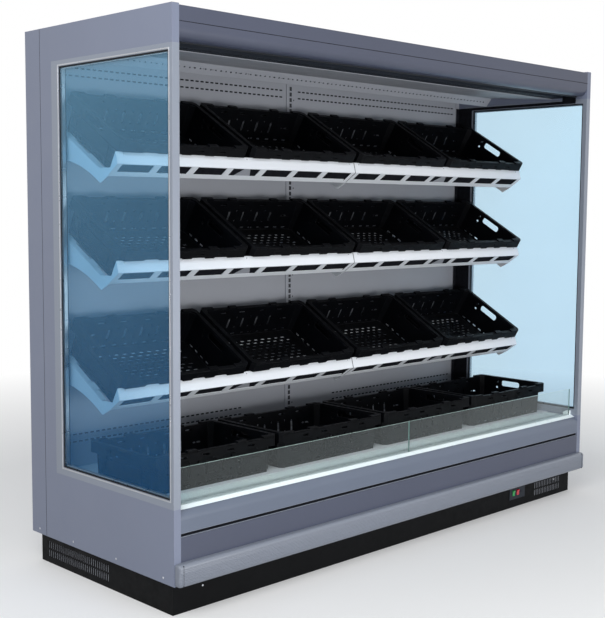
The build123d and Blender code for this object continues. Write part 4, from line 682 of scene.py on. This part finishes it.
# -------------------- front
def add_bumper():
    (x_low, x_high), (d_low, d_high), (z_low, z_high) = span("bumper")
    outline = [(d_high, z_low)]
    outline += [(d_low + 12 - 12 * sin(a * pi / 8), z_low + 12 - 12 * cos(a * pi / 8)) for a in range(5)]
    flat_low, flat_high = z_low + 12, z_high - 14
    ribs = int((flat_high - flat_low) / size("bumper_rib"))
    step = (flat_high - flat_low) / ribs
    for i in range(ribs):
        z = flat_low + i * step
        outline += [(d_low + 1.2, z + 0.12 * step), (d_low, z + 0.3 * step)]
        outline += [(d_low, z + 0.7 * step), (d_low + 1.2, z + 0.88 * step)]
    outline += [(d_low + 14 - 14 * cos(a * pi / 8), z_high - 14 + 14 * sin(a * pi / 8)) for a in range(5)]
    outline.append((d_high, z_high))
    middle, half_tall, deep = (z_low + z_high) / 2, (z_high - z_low) / 2, d_high - d_low

    def shrunk(x, by):
        across, up = (deep - by) / deep, (half_tall - by) / half_tall
        return [(x, d_high + (d - d_high) * across, middle + (z - middle) * up) for d, z in outline]

    nose = 9.0
    ends = [(nose * (1 - cos(a * pi / 8)), nose * (1 - sin(a * pi / 8))) for a in range(5)]
    loops = [shrunk(x_low + along, by) for along, by in ends]
    loops += [shrunk(x_high - along, by) for along, by in reversed(ends)]
    bm = bmesh.new()
    draw_out(bm, loops)
    piece("ribbed_bumper", bm, "bumper_profile", "bumper_plastic", replaced=("bumper",), sharp=50)

    bm = bmesh.new()
    box(bm, (x_high - 18.4, x_high - 17.6), (d_low - 0.2, d_high), (z_low + 3, z_high - 3))
    both_sides(bm)
    piece("bumper_end_joints", bm, "rubber_seal", "bumper_plastic")


def add_riser():
    (_, far), (d_low, d_high), (z_low, z_high) = span("riser_glass")
    bm = bmesh.new()
    box(bm, (1, far), (d_low, d_high), (z_low, z_high))
    both_sides(bm)
    bevel = size("glass_bevel")
    panes = piece(
        "riser_panes", bm, "clear_riser_glass", "riser_glass", replaced=("riser_glass",), bevel=bevel
    )
    for edge in ("ground_glass_edge", "deep_glass_edge"):
        panes.data.materials.append(bpy.data.materials[edge])
    for face in panes.data.polygons:
        if abs(face.normal.z) > 0.5:
            face.material_index = 1
        elif abs(face.normal.x) > 0.5:
            face.material_index = 2

    # dark strips of painted shade for the grooves between the ribs of the air return ledge
    (x_low, x_high), (d_low, d_high), (_, top) = span("air_return_grille")
    bm = bmesh.new()
    groove = d_low + 10
    while groove < d_high - 6:
        box(bm, (x_low + 3, x_high - 3), (groove, groove + 2.5), (top - 1, top + 0.3))
        groove += 12
    piece("grille_grooves", bm, "groove_shadow", "grille_plastic")


def add_front_gaps():
    low, high = span("upper_front_panel")[2][0], span("lower_front_panel")[2][1]
    # a dark sheet in the gap between the front panels: painted shade of the recess
    bm = bmesh.new()
    box(bm, (-HALF_BAY, HALF_BAY), (7, 13.5), (high + 0.5, low - 0.5))
    piece("panel_gap_seal", bm, "duct_shadow", "black_plastic")
    # light bars along the panels' edges at the gap: painted highlights of those edges
    bm = bmesh.new()
    for z in (low - 1.5, high + 1.5):
        box(bm, (-HALF_BAY + 1, HALF_BAY - 1), (2, 12), (z - 1, z + 1))
    piece("panel_gap_trims", bm, "anodised_frame", "window_aluminium", bevel=0.4)


# -------------------- end windows and end walls
def add_windows():
    (_, outer), depths, heights = span("end_glass")
    pane, unit = size("pane"), 22.0
    panes, spacers, seals, beads = bmesh.new(), bmesh.new(), bmesh.new(), bmesh.new()
    for start in (0.0, unit - pane):
        box(panes, (outer - start - pane, outer - start), depths, heights)
    framed(spacers, (outer - unit + pane, outer - pane), depths, heights, 9.0)
    framed(seals, (outer, outer + 2), depths, heights, 5.0)
    framed(seals, (outer - unit - 2, outer - unit), depths, heights, 5.0)
    # beads of bright aluminium just outside the glass opening: a trim brightened to paint the highlight of
    # the frames' edges
    grown = [(low - 7, high + 7) for low, high in (depths, heights)]
    framed(beads, (HALF_CASE - 1, HALF_CASE + 2.0), *grown, 5.0)
    for bm in (panes, spacers, seals, beads):
        both_sides(bm)
    piece("insulating_panes", panes, "tinted_end_glass", "end_glass", replaced=("end_glass",))
    piece("pane_spacers", spacers, "mill_aluminium", "window_aluminium")
    piece("window_seals", seals, "rubber_seal", "black_plastic", bevel=0.6)
    piece("window_beads", beads, "mill_aluminium", "window_aluminium", bevel=0.8)


def add_end_walls():
    """Dark sheets on the inner faces of the end walls, and the joints of their rear trims outside."""
    (_, _), (_, glass_rear), (_, glass_top) = span("end_glass")
    wall = span("rear_wall_panels")[1][0]
    frame_low, frame_top = span("end_window_frames")[2]
    outlet = span("air_outlet")[1][0]
    # dark sheets, in the finish of an opening's dark, over the end walls' inner faces round the windows
    inner = (HALF_BAY - 1.7, HALF_BAY - 0.1)
    bm = bmesh.new()
    box(bm, inner, (glass_rear + 8, wall - 5), (frame_low, glass_top + 3))
    box(bm, inner, (62, wall - 5), (glass_top + 3, frame_top - 6))
    box(bm, inner, (62, outlet - 1), (frame_top - 6, frame_top + 28))
    both_sides(bm)
    box(bm, (HALF_BAY - 24, HALF_BAY - 0.1), (wall - 5.4, wall - 4.1), (frame_low, frame_top - 6))
    piece("end_wall_liners", bm, "duct_shadow", "black_plastic")
    bm = bmesh.new()
    box(bm, (HALF_CASE - 0.5, HALF_CASE + 0.3), (810, 811.6), (122, 2074))
    both_sides(bm)
    piece("end_wall_joints", bm, "rubber_seal", "lilac_paint")
    bm = bmesh.new()
    for depth in (60, 340, 620, 860):
        rod(bm, (HALF_CASE + 0.6, depth, 140), "x", size("screw"), 2.0, 12)
    both_sides(bm)
    piece("end_wall_screws", bm, "plated_screw", "zinc_steel", bevel=0.4)


# -------------------- night blind
def add_blind():
    """Wound roll with its tube ends, and the cloth that runs down to the pull bar."""
    (_, x_high), (d_low, d_high), (z_low, z_high) = span("blind_roller")
    centre = ((d_low + d_high) / 2, (z_low + z_high) / 2)
    radius = (z_high - z_low) / 2
    (cloth_low, cloth_high), (c_low, c_high), (bar_top, cloth_top) = span("blind_cloth")
    thick, turns = c_high - c_low, 72

    def ring(x, share):
        points = []
        for i in range(turns):
            reach, angle = (radius - thick * i / turns) * share, 2 * pi * i / turns
            points.append((x, centre[0] - reach * cos(angle), centre[1] - reach * sin(angle)))
        return points

    waves = []
    for i in range(1, 24):
        waves.append((cloth_low + (cloth_high - cloth_low) * i / 24, 0.994 + 0.006 * cos(i * 2.4)))
    bm = bmesh.new()
    ends = [(cloth_low, 0.985), (cloth_low + 1, 1.0), *waves, (cloth_high - 1, 1.0), (cloth_high, 0.985)]
    draw_out(bm, [ring(x, share) for x, share in ends])
    piece(
        "wound_blind_roll", bm, "woven_blind_cloth", "blind_fabric", body="blind_roller",
        replaced=("blind_roller",), sharp=60,
    )
    bm = bmesh.new()
    rod(bm, (cloth_high + 2.0, *centre), "x", radius * 0.72, 5.8, 32)
    rod(bm, ((x_high + cloth_high) / 2, *centre), "x", 6.0, x_high - cloth_high, 20)
    both_sides(bm)
    piece("blind_tube_ends", bm, "mill_aluminium", "bare_aluminium", body="blind_roller", bevel=0.5)

    # the sheet of cloth, bellied between roll and bar
    width, drop, middle = cloth_high - cloth_low, cloth_top - bar_top, (c_low + c_high) / 2
    upright = Matrix.Translation((0, middle - thick / 4, bar_top + drop / 2)) @ TURNS["depth"]
    bm = bmesh.new()
    bmesh.ops.create_grid(
        bm, x_segments=60, y_segments=40, size=0.5, matrix=upright @ Matrix.Diagonal((width, drop, 1, 1))
    )
    thicken(bm, bm.faces[:], (0, thick / 2, 0))
    for vert in bm.verts:
        share = (vert.co.z - bar_top) / drop
        vert.co.y -= size("cloth_slack") * sin(pi * share) * (0.5 + 0.5 * sin(vert.co.x * 0.022))
    cloth = piece(
        "blind_cloth_sheet", bm, "woven_blind_cloth", "blind_fabric", body=None, replaced=("blind_cloth",)
    )
    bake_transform(cloth)


# -------------------- shelves
RAIL_RUN, RAIL_DROP = 62.0, 42.6  # from the rail's brow back and down to its heel
RAIL_LENGTH = hypot(RAIL_RUN, RAIL_DROP)
BROW_TO_APEX = (12.0, 44.0)


def add_shelf_details():
    """Painted shade in the slotted rails and in the joint between their halves, gussets darkened as painted
    shade, and rivets.
    """
    for row in ROWS:
        (_, outer), (brow, _), (heel, _) = span(f"shelf_frame_{row}")
        top = heel + RAIL_DROP

        def on_flange(u, v, w):
            across, up = RAIL_RUN / RAIL_LENGTH, RAIL_DROP / RAIL_LENGTH
            return (u, brow + v * across + w * up, top - v * up + w * across)

        middle = (outer + 2) / 2
        shadows, gussets, rivets = bmesh.new(), bmesh.new(), bmesh.new()
        plate(shadows, oblong(6, outer - 4, 3, 52), [], 2.6, 3.4, on_flange)
        # gussets seen through the slots, in the grey wall coat rather than the white shelf coat: painted
        # shade
        gusset = [(middle - 14, 5), (middle + 14, 5), (middle + 42, 49), (middle - 42, 49)]
        plate(gussets, gusset, [], 1.2, 2.3, on_flange)
        for x in (30, middle, outer - 30):
            rod(rivets, (x, brow + 10.0, top + 36), "depth", 3.0, 2.5, 12)
        for bm in (shadows, gussets, rivets):
            both_sides(bm)
        apex = (brow + BROW_TO_APEX[0], top + BROW_TO_APEX[1])
        run(shadows, [(brow + 1, top - 1), (apex[0], apex[1] - 2), (brow + 60, heel + 2)], -1.9, 1.9)
        plate(shadows, oblong(-31, -25, 3, 56), [], -0.3, 0.6, on_flange)
        piece(f"rail_shadows_{row}", shadows, "duct_shadow", "black_plastic")
        piece(f"rail_gussets_{row}", gussets, "grey_sheet_coat", "white_paint")
        piece(f"rail_rivets_{row}", rivets, "plated_screw", "zinc_steel")


# -------------------- rear wall and ceiling
AIR_PITCH = 27
AIR_SLOT_HALF = (8.5, 3.0)  # along and up
AIR_END_GAP = 30  # plain wall at its outer end
LOW_ROWS, LOW_START = (100, 129), 0.245  # above the deck; share of the wall left plain beside the middle
HIGH_ROWS, HIGH_START = (-71, -41), 55  # from the wall's top; plain wall beside the middle
SEAM_RISE = 86.6  # from a shelf's heel to the sheet seam above it
HOOK_PITCH, HOOK_FOOT = 25.0, 66.0  # slots of the uprights; the lowest above the deck
CUTOUTS, CUTOUT_FOOT = (-435, -92, 528), 1608  # hook-shaped cutouts between the upper shelves


def add_wall_details():
    """Shadows of the air slots, hook slots, sheet seams and cutouts, and the ceiling's dots."""
    (_, wall_end), (wall, _), (_, wall_top) = span("rear_wall_panels")
    post = span("shelf_uprights")[1][0]
    deck = span("deck_pans")[2][1]
    slots = bmesh.new()
    rows = [(deck + rise, wall_end * LOW_START) for rise in LOW_ROWS]
    rows += [(wall_top + drop, HIGH_START) for drop in HIGH_ROWS]
    half, up = AIR_SLOT_HALF
    for height, start in rows:
        room = wall_end - AIR_END_GAP - start
        for i in range(int(room / AIR_PITCH) + 1):
            x = start + (room % AIR_PITCH) / 2 + i * AIR_PITCH
            box(slots, (x - half, x + half), (wall - 0.25, wall + 1.5), (height - up, height + up))
    for row in ROWS:
        seam = span(f"shelf_frame_{row}")[2][0] + SEAM_RISE
        box(slots, (26, wall_end - 1), (wall - 0.2, wall + 1), (seam - 1.2, seam + 1.2))
    both_sides(slots)
    height = deck + HOOK_FOOT
    while height < wall_top - 30:
        for x in (-3.5, 3.5):
            box(slots, (x - 2.9, x + 2.9), (post - 0.25, post + 1.5), (height - 9, height + 9))
        if int(height / HOOK_PITCH) % 4 == 0:
            box(slots, (17, 22), (post - 0.25, post + 1), (height - 3, height + 3))
        height += HOOK_PITCH
    for x in CUTOUTS:
        for (low, high), (foot, head) in (((-15, -10), (0, 34)), ((10, 15), (0, 34)), ((-10, 10), (30, 34))):
            heights = (CUTOUT_FOOT + foot, CUTOUT_FOOT + head)
            box(slots, (x + low, x + high), (wall - 0.25, wall + 1), heights)
    piece("wall_slot_shadows", slots, "duct_shadow", "grey_paint")

    dots = bmesh.new()
    for i in range(45):
        rod(dots, (AIR_PITCH / 2 + i * AIR_PITCH, 581, 1963), "depth", 2.6, 4.5, 8)
    both_sides(dots)
    piece("ceiling_dots", dots, "duct_shadow", "grey_paint")


def add_canopy_details():
    """Seam of the fascia and end caps of the lamp."""
    seam = span("canopy_fascia")[2][1] - 51
    bm = bmesh.new()
    box(bm, (-HALF_BAY, HALF_BAY), (-0.2, 3), (seam - 0.8, seam + 0.8))
    piece("fascia_seam", bm, "duct_shadow", "black_plastic")
    (_, lamp_end), (lamp_front, lamp_rear), (lamp_low, lamp_top) = span("canopy_lamp")
    bm = bmesh.new()
    box(bm, (lamp_end, lamp_end + 12), (lamp_front - 1.5, lamp_rear + 1.5), (lamp_low - 1.5, lamp_top - 0.2))
    both_sides(bm)
    piece("lamp_end_caps", bm, "moulded_black_trim", "black_plastic", bevel=1.5)


# -------------------- plinth, back and roof
def add_plinth_details():
    (_, half), (face, _), (_, _) = span("plinth_front")
    bm = bmesh.new()
    for x in (-1120, 1120):
        rod(bm, (x, face - 0.6, 79), "depth", size("screw"), 2.4, 16)
    piece("plinth_screws", bm, "plated_screw", "zinc_steel", bevel=0.4)
    # pale mesh close behind the vent slots
    bm = bmesh.new()
    box(bm, (945, 1180), (face + 3, face + 4), (22, 92))
    for side in (-1, 1):
        box(bm, sorted((side * (half - 4), side * (half - 3))), (420, 850), (22, 92))
    piece("vent_backings", bm, "grey_sheet_coat", "zinc_steel")


STRIP = (395, 439)  # cover strip over each joint of the back and the roof
EDGE_SCREWS = 1225
SCREW_PITCH = 250


def add_back():
    """Cover strips and screws on the back and the roof."""
    (_, _), (_, back), (low, high) = span("insulated_back")
    (_, _), (roof_front, _), (_, roof) = span("insulated_roof")
    strips, screws, middle = bmesh.new(), bmesh.new(), sum(STRIP) / 2
    box(strips, STRIP, (back - 0.5, back + 1.2), (low + 4, high + 30))
    box(strips, STRIP, (roof_front + 4, back - 2), (roof - 0.5, roof + 1.2))
    for i in range(8):
        height = low + 60 + i * SCREW_PITCH
        rod(screws, (middle, back + 1.6, height), "depth", size("screw"), 2.4, 12)
        rod(screws, (EDGE_SCREWS, back + 0.6, height), "depth", size("screw"), 2.4, 12)
    for i in range(4):
        rod(screws, (middle, roof_front + 60 + i * 220, roof + 1.6), "height", size("screw"), 2.4, 12)
    both_sides(strips)
    both_sides(screws)
    piece("cover_strips", strips, "side_powder_coat", "lilac_paint", bevel=0.5)
    piece("cover_screws", screws, "plated_screw", "zinc_steel", bevel=0.4)


# -------------------- stage
CAMERA_AT = (-3.5248, -3.3450, 1.4164)
CAMERA_YAW = radians(44.47)
CAMERA_PITCH = radians(5.327)
CAMERA_ROLL = radians(0.394)
LENS = 64.08


def add_camera():
    forward = Vector(
        (sin(CAMERA_YAW) * cos(CAMERA_PITCH), cos(CAMERA_YAW) * cos(CAMERA_PITCH), -sin(CAMERA_PITCH))
    )
    right = Vector((cos(CAMERA_YAW), -sin(CAMERA_YAW), 0))
    up = right.cross(forward)
    rolled = right * cos(CAMERA_ROLL) + up * sin(CAMERA_ROLL)
    upright = up * cos(CAMERA_ROLL) - right * sin(CAMERA_ROLL)
    lens = bpy.data.cameras.new("photo_camera")
    lens.sensor_fit = "VERTICAL"
    lens.sensor_height = 36
    lens.lens = LENS
    lens.clip_end = 100
    camera = bpy.data.objects.new("photo_camera", lens)
    axes = Matrix((rolled, upright, -forward)).transposed()
    camera.matrix_world = Matrix.Translation(CAMERA_AT) @ axes.to_4x4()
    bpy.context.collection.objects.link(camera)
    bpy.context.scene.camera = camera


WORLD_STRENGTH = 0.5
SOFTBOXES = (  # name, place, aimed at, size in metres, watts
    ("key_softbox", (-3.9, -2.2, 3.4), (0, 0, 0.9), (3.0, 2.4), 128),
    ("front_softbox", (-0.6, -4.3, 0.6), (0, 0, 0.6), (3.2, 1.0), 95),
)


def softbox(name, at, towards, extent, power):
    light = bpy.data.lights.new(name, "AREA")
    light.shape = "RECTANGLE"
    light.size, light.size_y = extent
    light.energy = power
    lamp = bpy.data.objects.new(name, light)
    lamp.location = at
    lamp.rotation_euler = (Vector(towards) - Vector(at)).to_track_quat("-Z", "Y").to_euler()
    bpy.context.collection.objects.link(lamp)


def seen_as_white(tree):
    """One for the rays that show a background, nought for those that light the object."""
    path = add(tree, "LightPath").outputs
    seen = path["Is Camera Ray"]
    for kind in ("Is Glossy Ray", "Is Transmission Ray"):
        seen = add(tree, "Math", {0: seen, 1: path[kind]}, operation="MAXIMUM").outputs[0]
    return seen


def add_world():
    """Even light, shown as plain white."""
    world = bpy.data.worlds.new("studio")
    world.use_nodes = True
    tree = world.node_tree
    tree.nodes.clear()
    plain = add(tree, "Background", {"Color": (0.94, 0.97, 1.0, 1), "Strength": WORLD_STRENGTH})
    white = add(tree, "Background", {"Color": (1, 1, 1, 1), "Strength": 1.0})
    mix = add(tree, "MixShader", {0: seen_as_white(tree), 1: plain.outputs[0], 2: white.outputs[0]})
    output = add(tree, "OutputWorld")
    tree.links.new(mix.outputs[0], output.inputs[0])
    bpy.context.scene.world = world


def add_floor():
    """Pale floor that keeps the shadow and fades to white."""
    material, tree, output, place = blank("studio_floor")
    away = add(tree, "VectorMath", {0: place}, operation="LENGTH").outputs["Value"]
    fade = add(tree, "MapRange", {0: away, 1: 2.0, 2: 5.0, 3: 0.15, 4: 1.0}).outputs[0]
    seen = seen_as_white(tree)
    lit = add(
        tree,
        "BsdfPrincipled",
        {
            "Base Color": blend(tree, seen, (0.5, 0.5, 0.5, 1), (0.92, 0.92, 0.92, 1)),
            "Roughness": vary(tree, place, 3.0, 0.7, 0.8),
        },
    )
    glow = add(tree, "Emission", {"Color": (1, 1, 1, 1), "Strength": 1.0})
    shown = product(tree, fade, seen)
    mix = add(tree, "MixShader", {0: shown, 1: lit.outputs[0], 2: glow.outputs[0]})
    tree.links.new(mix.outputs[0], output.inputs[0])
    bm = bmesh.new()
    bmesh.ops.create_circle(bm, cap_ends=True, segments=64, radius=14.0)
    mesh = bpy.data.meshes.new("studio_floor")
    bm.to_mesh(mesh)
    bm.free()
    mesh.materials.append(material)
    floor = bpy.data.objects.new("studio_floor", mesh)
    bpy.context.collection.objects.link(floor)


# -------------------- operators
UNDOABLE = {"REGISTER", "UNDO"}


class FRIDGE_OT_finishes(bpy.types.Operator):
    """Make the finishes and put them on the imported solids"""

    bl_idname = "fridge.finishes"
    bl_label = "Finishes"
    bl_options = UNDOABLE

    def execute(self, context):
        make_finishes()
        dress_nodes()
        return {"FINISHED"}


class FRIDGE_OT_crates(bpy.types.Operator):
    """Sixteen perforated crates, each on its own body"""

    bl_idname = "fridge.crates"
    bl_label = "Crates"
    bl_options = UNDOABLE

    def execute(self, context):
        add_crates()
        return {"FINISHED"}


class FRIDGE_OT_bumper(bpy.types.Operator):
    """Ribbed bumper with rounded ends"""

    bl_idname = "fridge.bumper"
    bl_label = "Bumper"
    bl_options = UNDOABLE

    def execute(self, context):
        add_bumper()
        return {"FINISHED"}


class FRIDGE_OT_riser(bpy.types.Operator):
    """Riser panes with their ground edges, and the grooved ledge behind them"""

    bl_idname = "fridge.riser"
    bl_label = "Riser Glass"
    bl_options = UNDOABLE

    def execute(self, context):
        add_riser()
        return {"FINISHED"}


class FRIDGE_OT_front_gaps(bpy.types.Operator):
    """Painted shade and edge highlights in the gap of the front panels"""

    bl_idname = "fridge.front_gaps"
    bl_label = "Front Gaps"
    bl_options = UNDOABLE

    def execute(self, context):
        add_front_gaps()
        return {"FINISHED"}


class FRIDGE_OT_windows(bpy.types.Operator):
    """Double panes of the end windows with spacers, seals, and beads brightened as painted highlight of the
    frames' edges
    """

    bl_idname = "fridge.windows"
    bl_label = "End Windows"
    bl_options = UNDOABLE

    def execute(self, context):
        add_windows()
        return {"FINISHED"}


class FRIDGE_OT_end_walls(bpy.types.Operator):
    """Dark inner sheets, joints and screws of the end walls"""

    bl_idname = "fridge.end_walls"
    bl_label = "End Walls"
    bl_options = UNDOABLE

    def execute(self, context):
        add_end_walls()
        return {"FINISHED"}


class FRIDGE_OT_blind(bpy.types.Operator):
    """Roll and cloth of the night blind"""

    bl_idname = "fridge.blind"
    bl_label = "Night Blind"
    bl_options = UNDOABLE

    def execute(self, context):
        add_blind()
        return {"FINISHED"}


class FRIDGE_OT_shelves(bpy.types.Operator):
    """Painted shade in the shelf rails and their joints, gussets darkened as painted shade, and rivets"""

    bl_idname = "fridge.shelves"
    bl_label = "Shelf Rails"
    bl_options = UNDOABLE

    def execute(self, context):
        add_shelf_details()
        return {"FINISHED"}


class FRIDGE_OT_wall(bpy.types.Operator):
    """Slots and seams of the rear wall and ceiling"""

    bl_idname = "fridge.wall"
    bl_label = "Rear Wall"
    bl_options = UNDOABLE

    def execute(self, context):
        add_wall_details()
        return {"FINISHED"}


class FRIDGE_OT_canopy(bpy.types.Operator):
    """Fascia seam and lamp caps"""

    bl_idname = "fridge.canopy"
    bl_label = "Canopy"
    bl_options = UNDOABLE

    def execute(self, context):
        add_canopy_details()
        return {"FINISHED"}


class FRIDGE_OT_plinth(bpy.types.Operator):
    """Screws of the plinth and the mesh behind its vents"""

    bl_idname = "fridge.plinth"
    bl_label = "Plinth"
    bl_options = UNDOABLE

    def execute(self, context):
        add_plinth_details()
        return {"FINISHED"}


class FRIDGE_OT_back(bpy.types.Operator):
    """Cover strips and screws of the back and roof"""

    bl_idname = "fridge.back"
    bl_label = "Back and Roof"
    bl_options = UNDOABLE

    def execute(self, context):
        add_back()
        return {"FINISHED"}


class FRIDGE_OT_stage(bpy.types.Operator):
    """Camera at the photograph's place, floor and lights"""

    bl_idname = "fridge.stage"
    bl_label = "Stage"
    bl_options = UNDOABLE

    def execute(self, context):
        add_camera()
        context.scene.view_settings.view_transform = "Standard"
        add_world()
        if context.scene.fridge_sizes.show_stage:
            add_floor()
            for lamp in SOFTBOXES:
                softbox(*lamp)
        return {"FINISHED"}


STEPS = (
    FRIDGE_OT_finishes, FRIDGE_OT_crates, FRIDGE_OT_bumper, FRIDGE_OT_riser, FRIDGE_OT_front_gaps,
    FRIDGE_OT_windows, FRIDGE_OT_end_walls, FRIDGE_OT_blind, FRIDGE_OT_shelves, FRIDGE_OT_wall,
    FRIDGE_OT_canopy, FRIDGE_OT_plinth, FRIDGE_OT_back, FRIDGE_OT_stage,
)


class FRIDGE_PT_panel(bpy.types.Panel):
    """Sidebar panel of the display fridge"""

    bl_idname = "FRIDGE_PT_panel"
    bl_label = "Display Fridge"
    bl_space_type = "VIEW_3D"
    bl_region_type = "UI"
    bl_category = "Display Fridge"

    def draw(self, context):
        for settings in (context.scene.fridge_colours, context.scene.fridge_sizes):
            for key in settings.__annotations__:
                self.layout.prop(settings, key)
        for step in STEPS:
            self.layout.operator(step.bl_idname)


CLASSES = (FridgeColours, FridgeSizes, *STEPS, FRIDGE_PT_panel)


def register():
    for each in CLASSES:
        bpy.utils.register_class(each)
    bpy.types.Scene.fridge_colours = bpy.props.PointerProperty(type=FridgeColours)
    bpy.types.Scene.fridge_sizes = bpy.props.PointerProperty(type=FridgeSizes)


def unregister():
    del bpy.types.Scene.fridge_sizes
    del bpy.types.Scene.fridge_colours
    for each in reversed(CLASSES):
        bpy.utils.unregister_class(each)


def main():
    register()
    for step in STEPS:
        category, name = step.bl_idname.split(".")
        getattr(getattr(bpy.ops, category), name)()


if __name__ == "__main__":
    main()
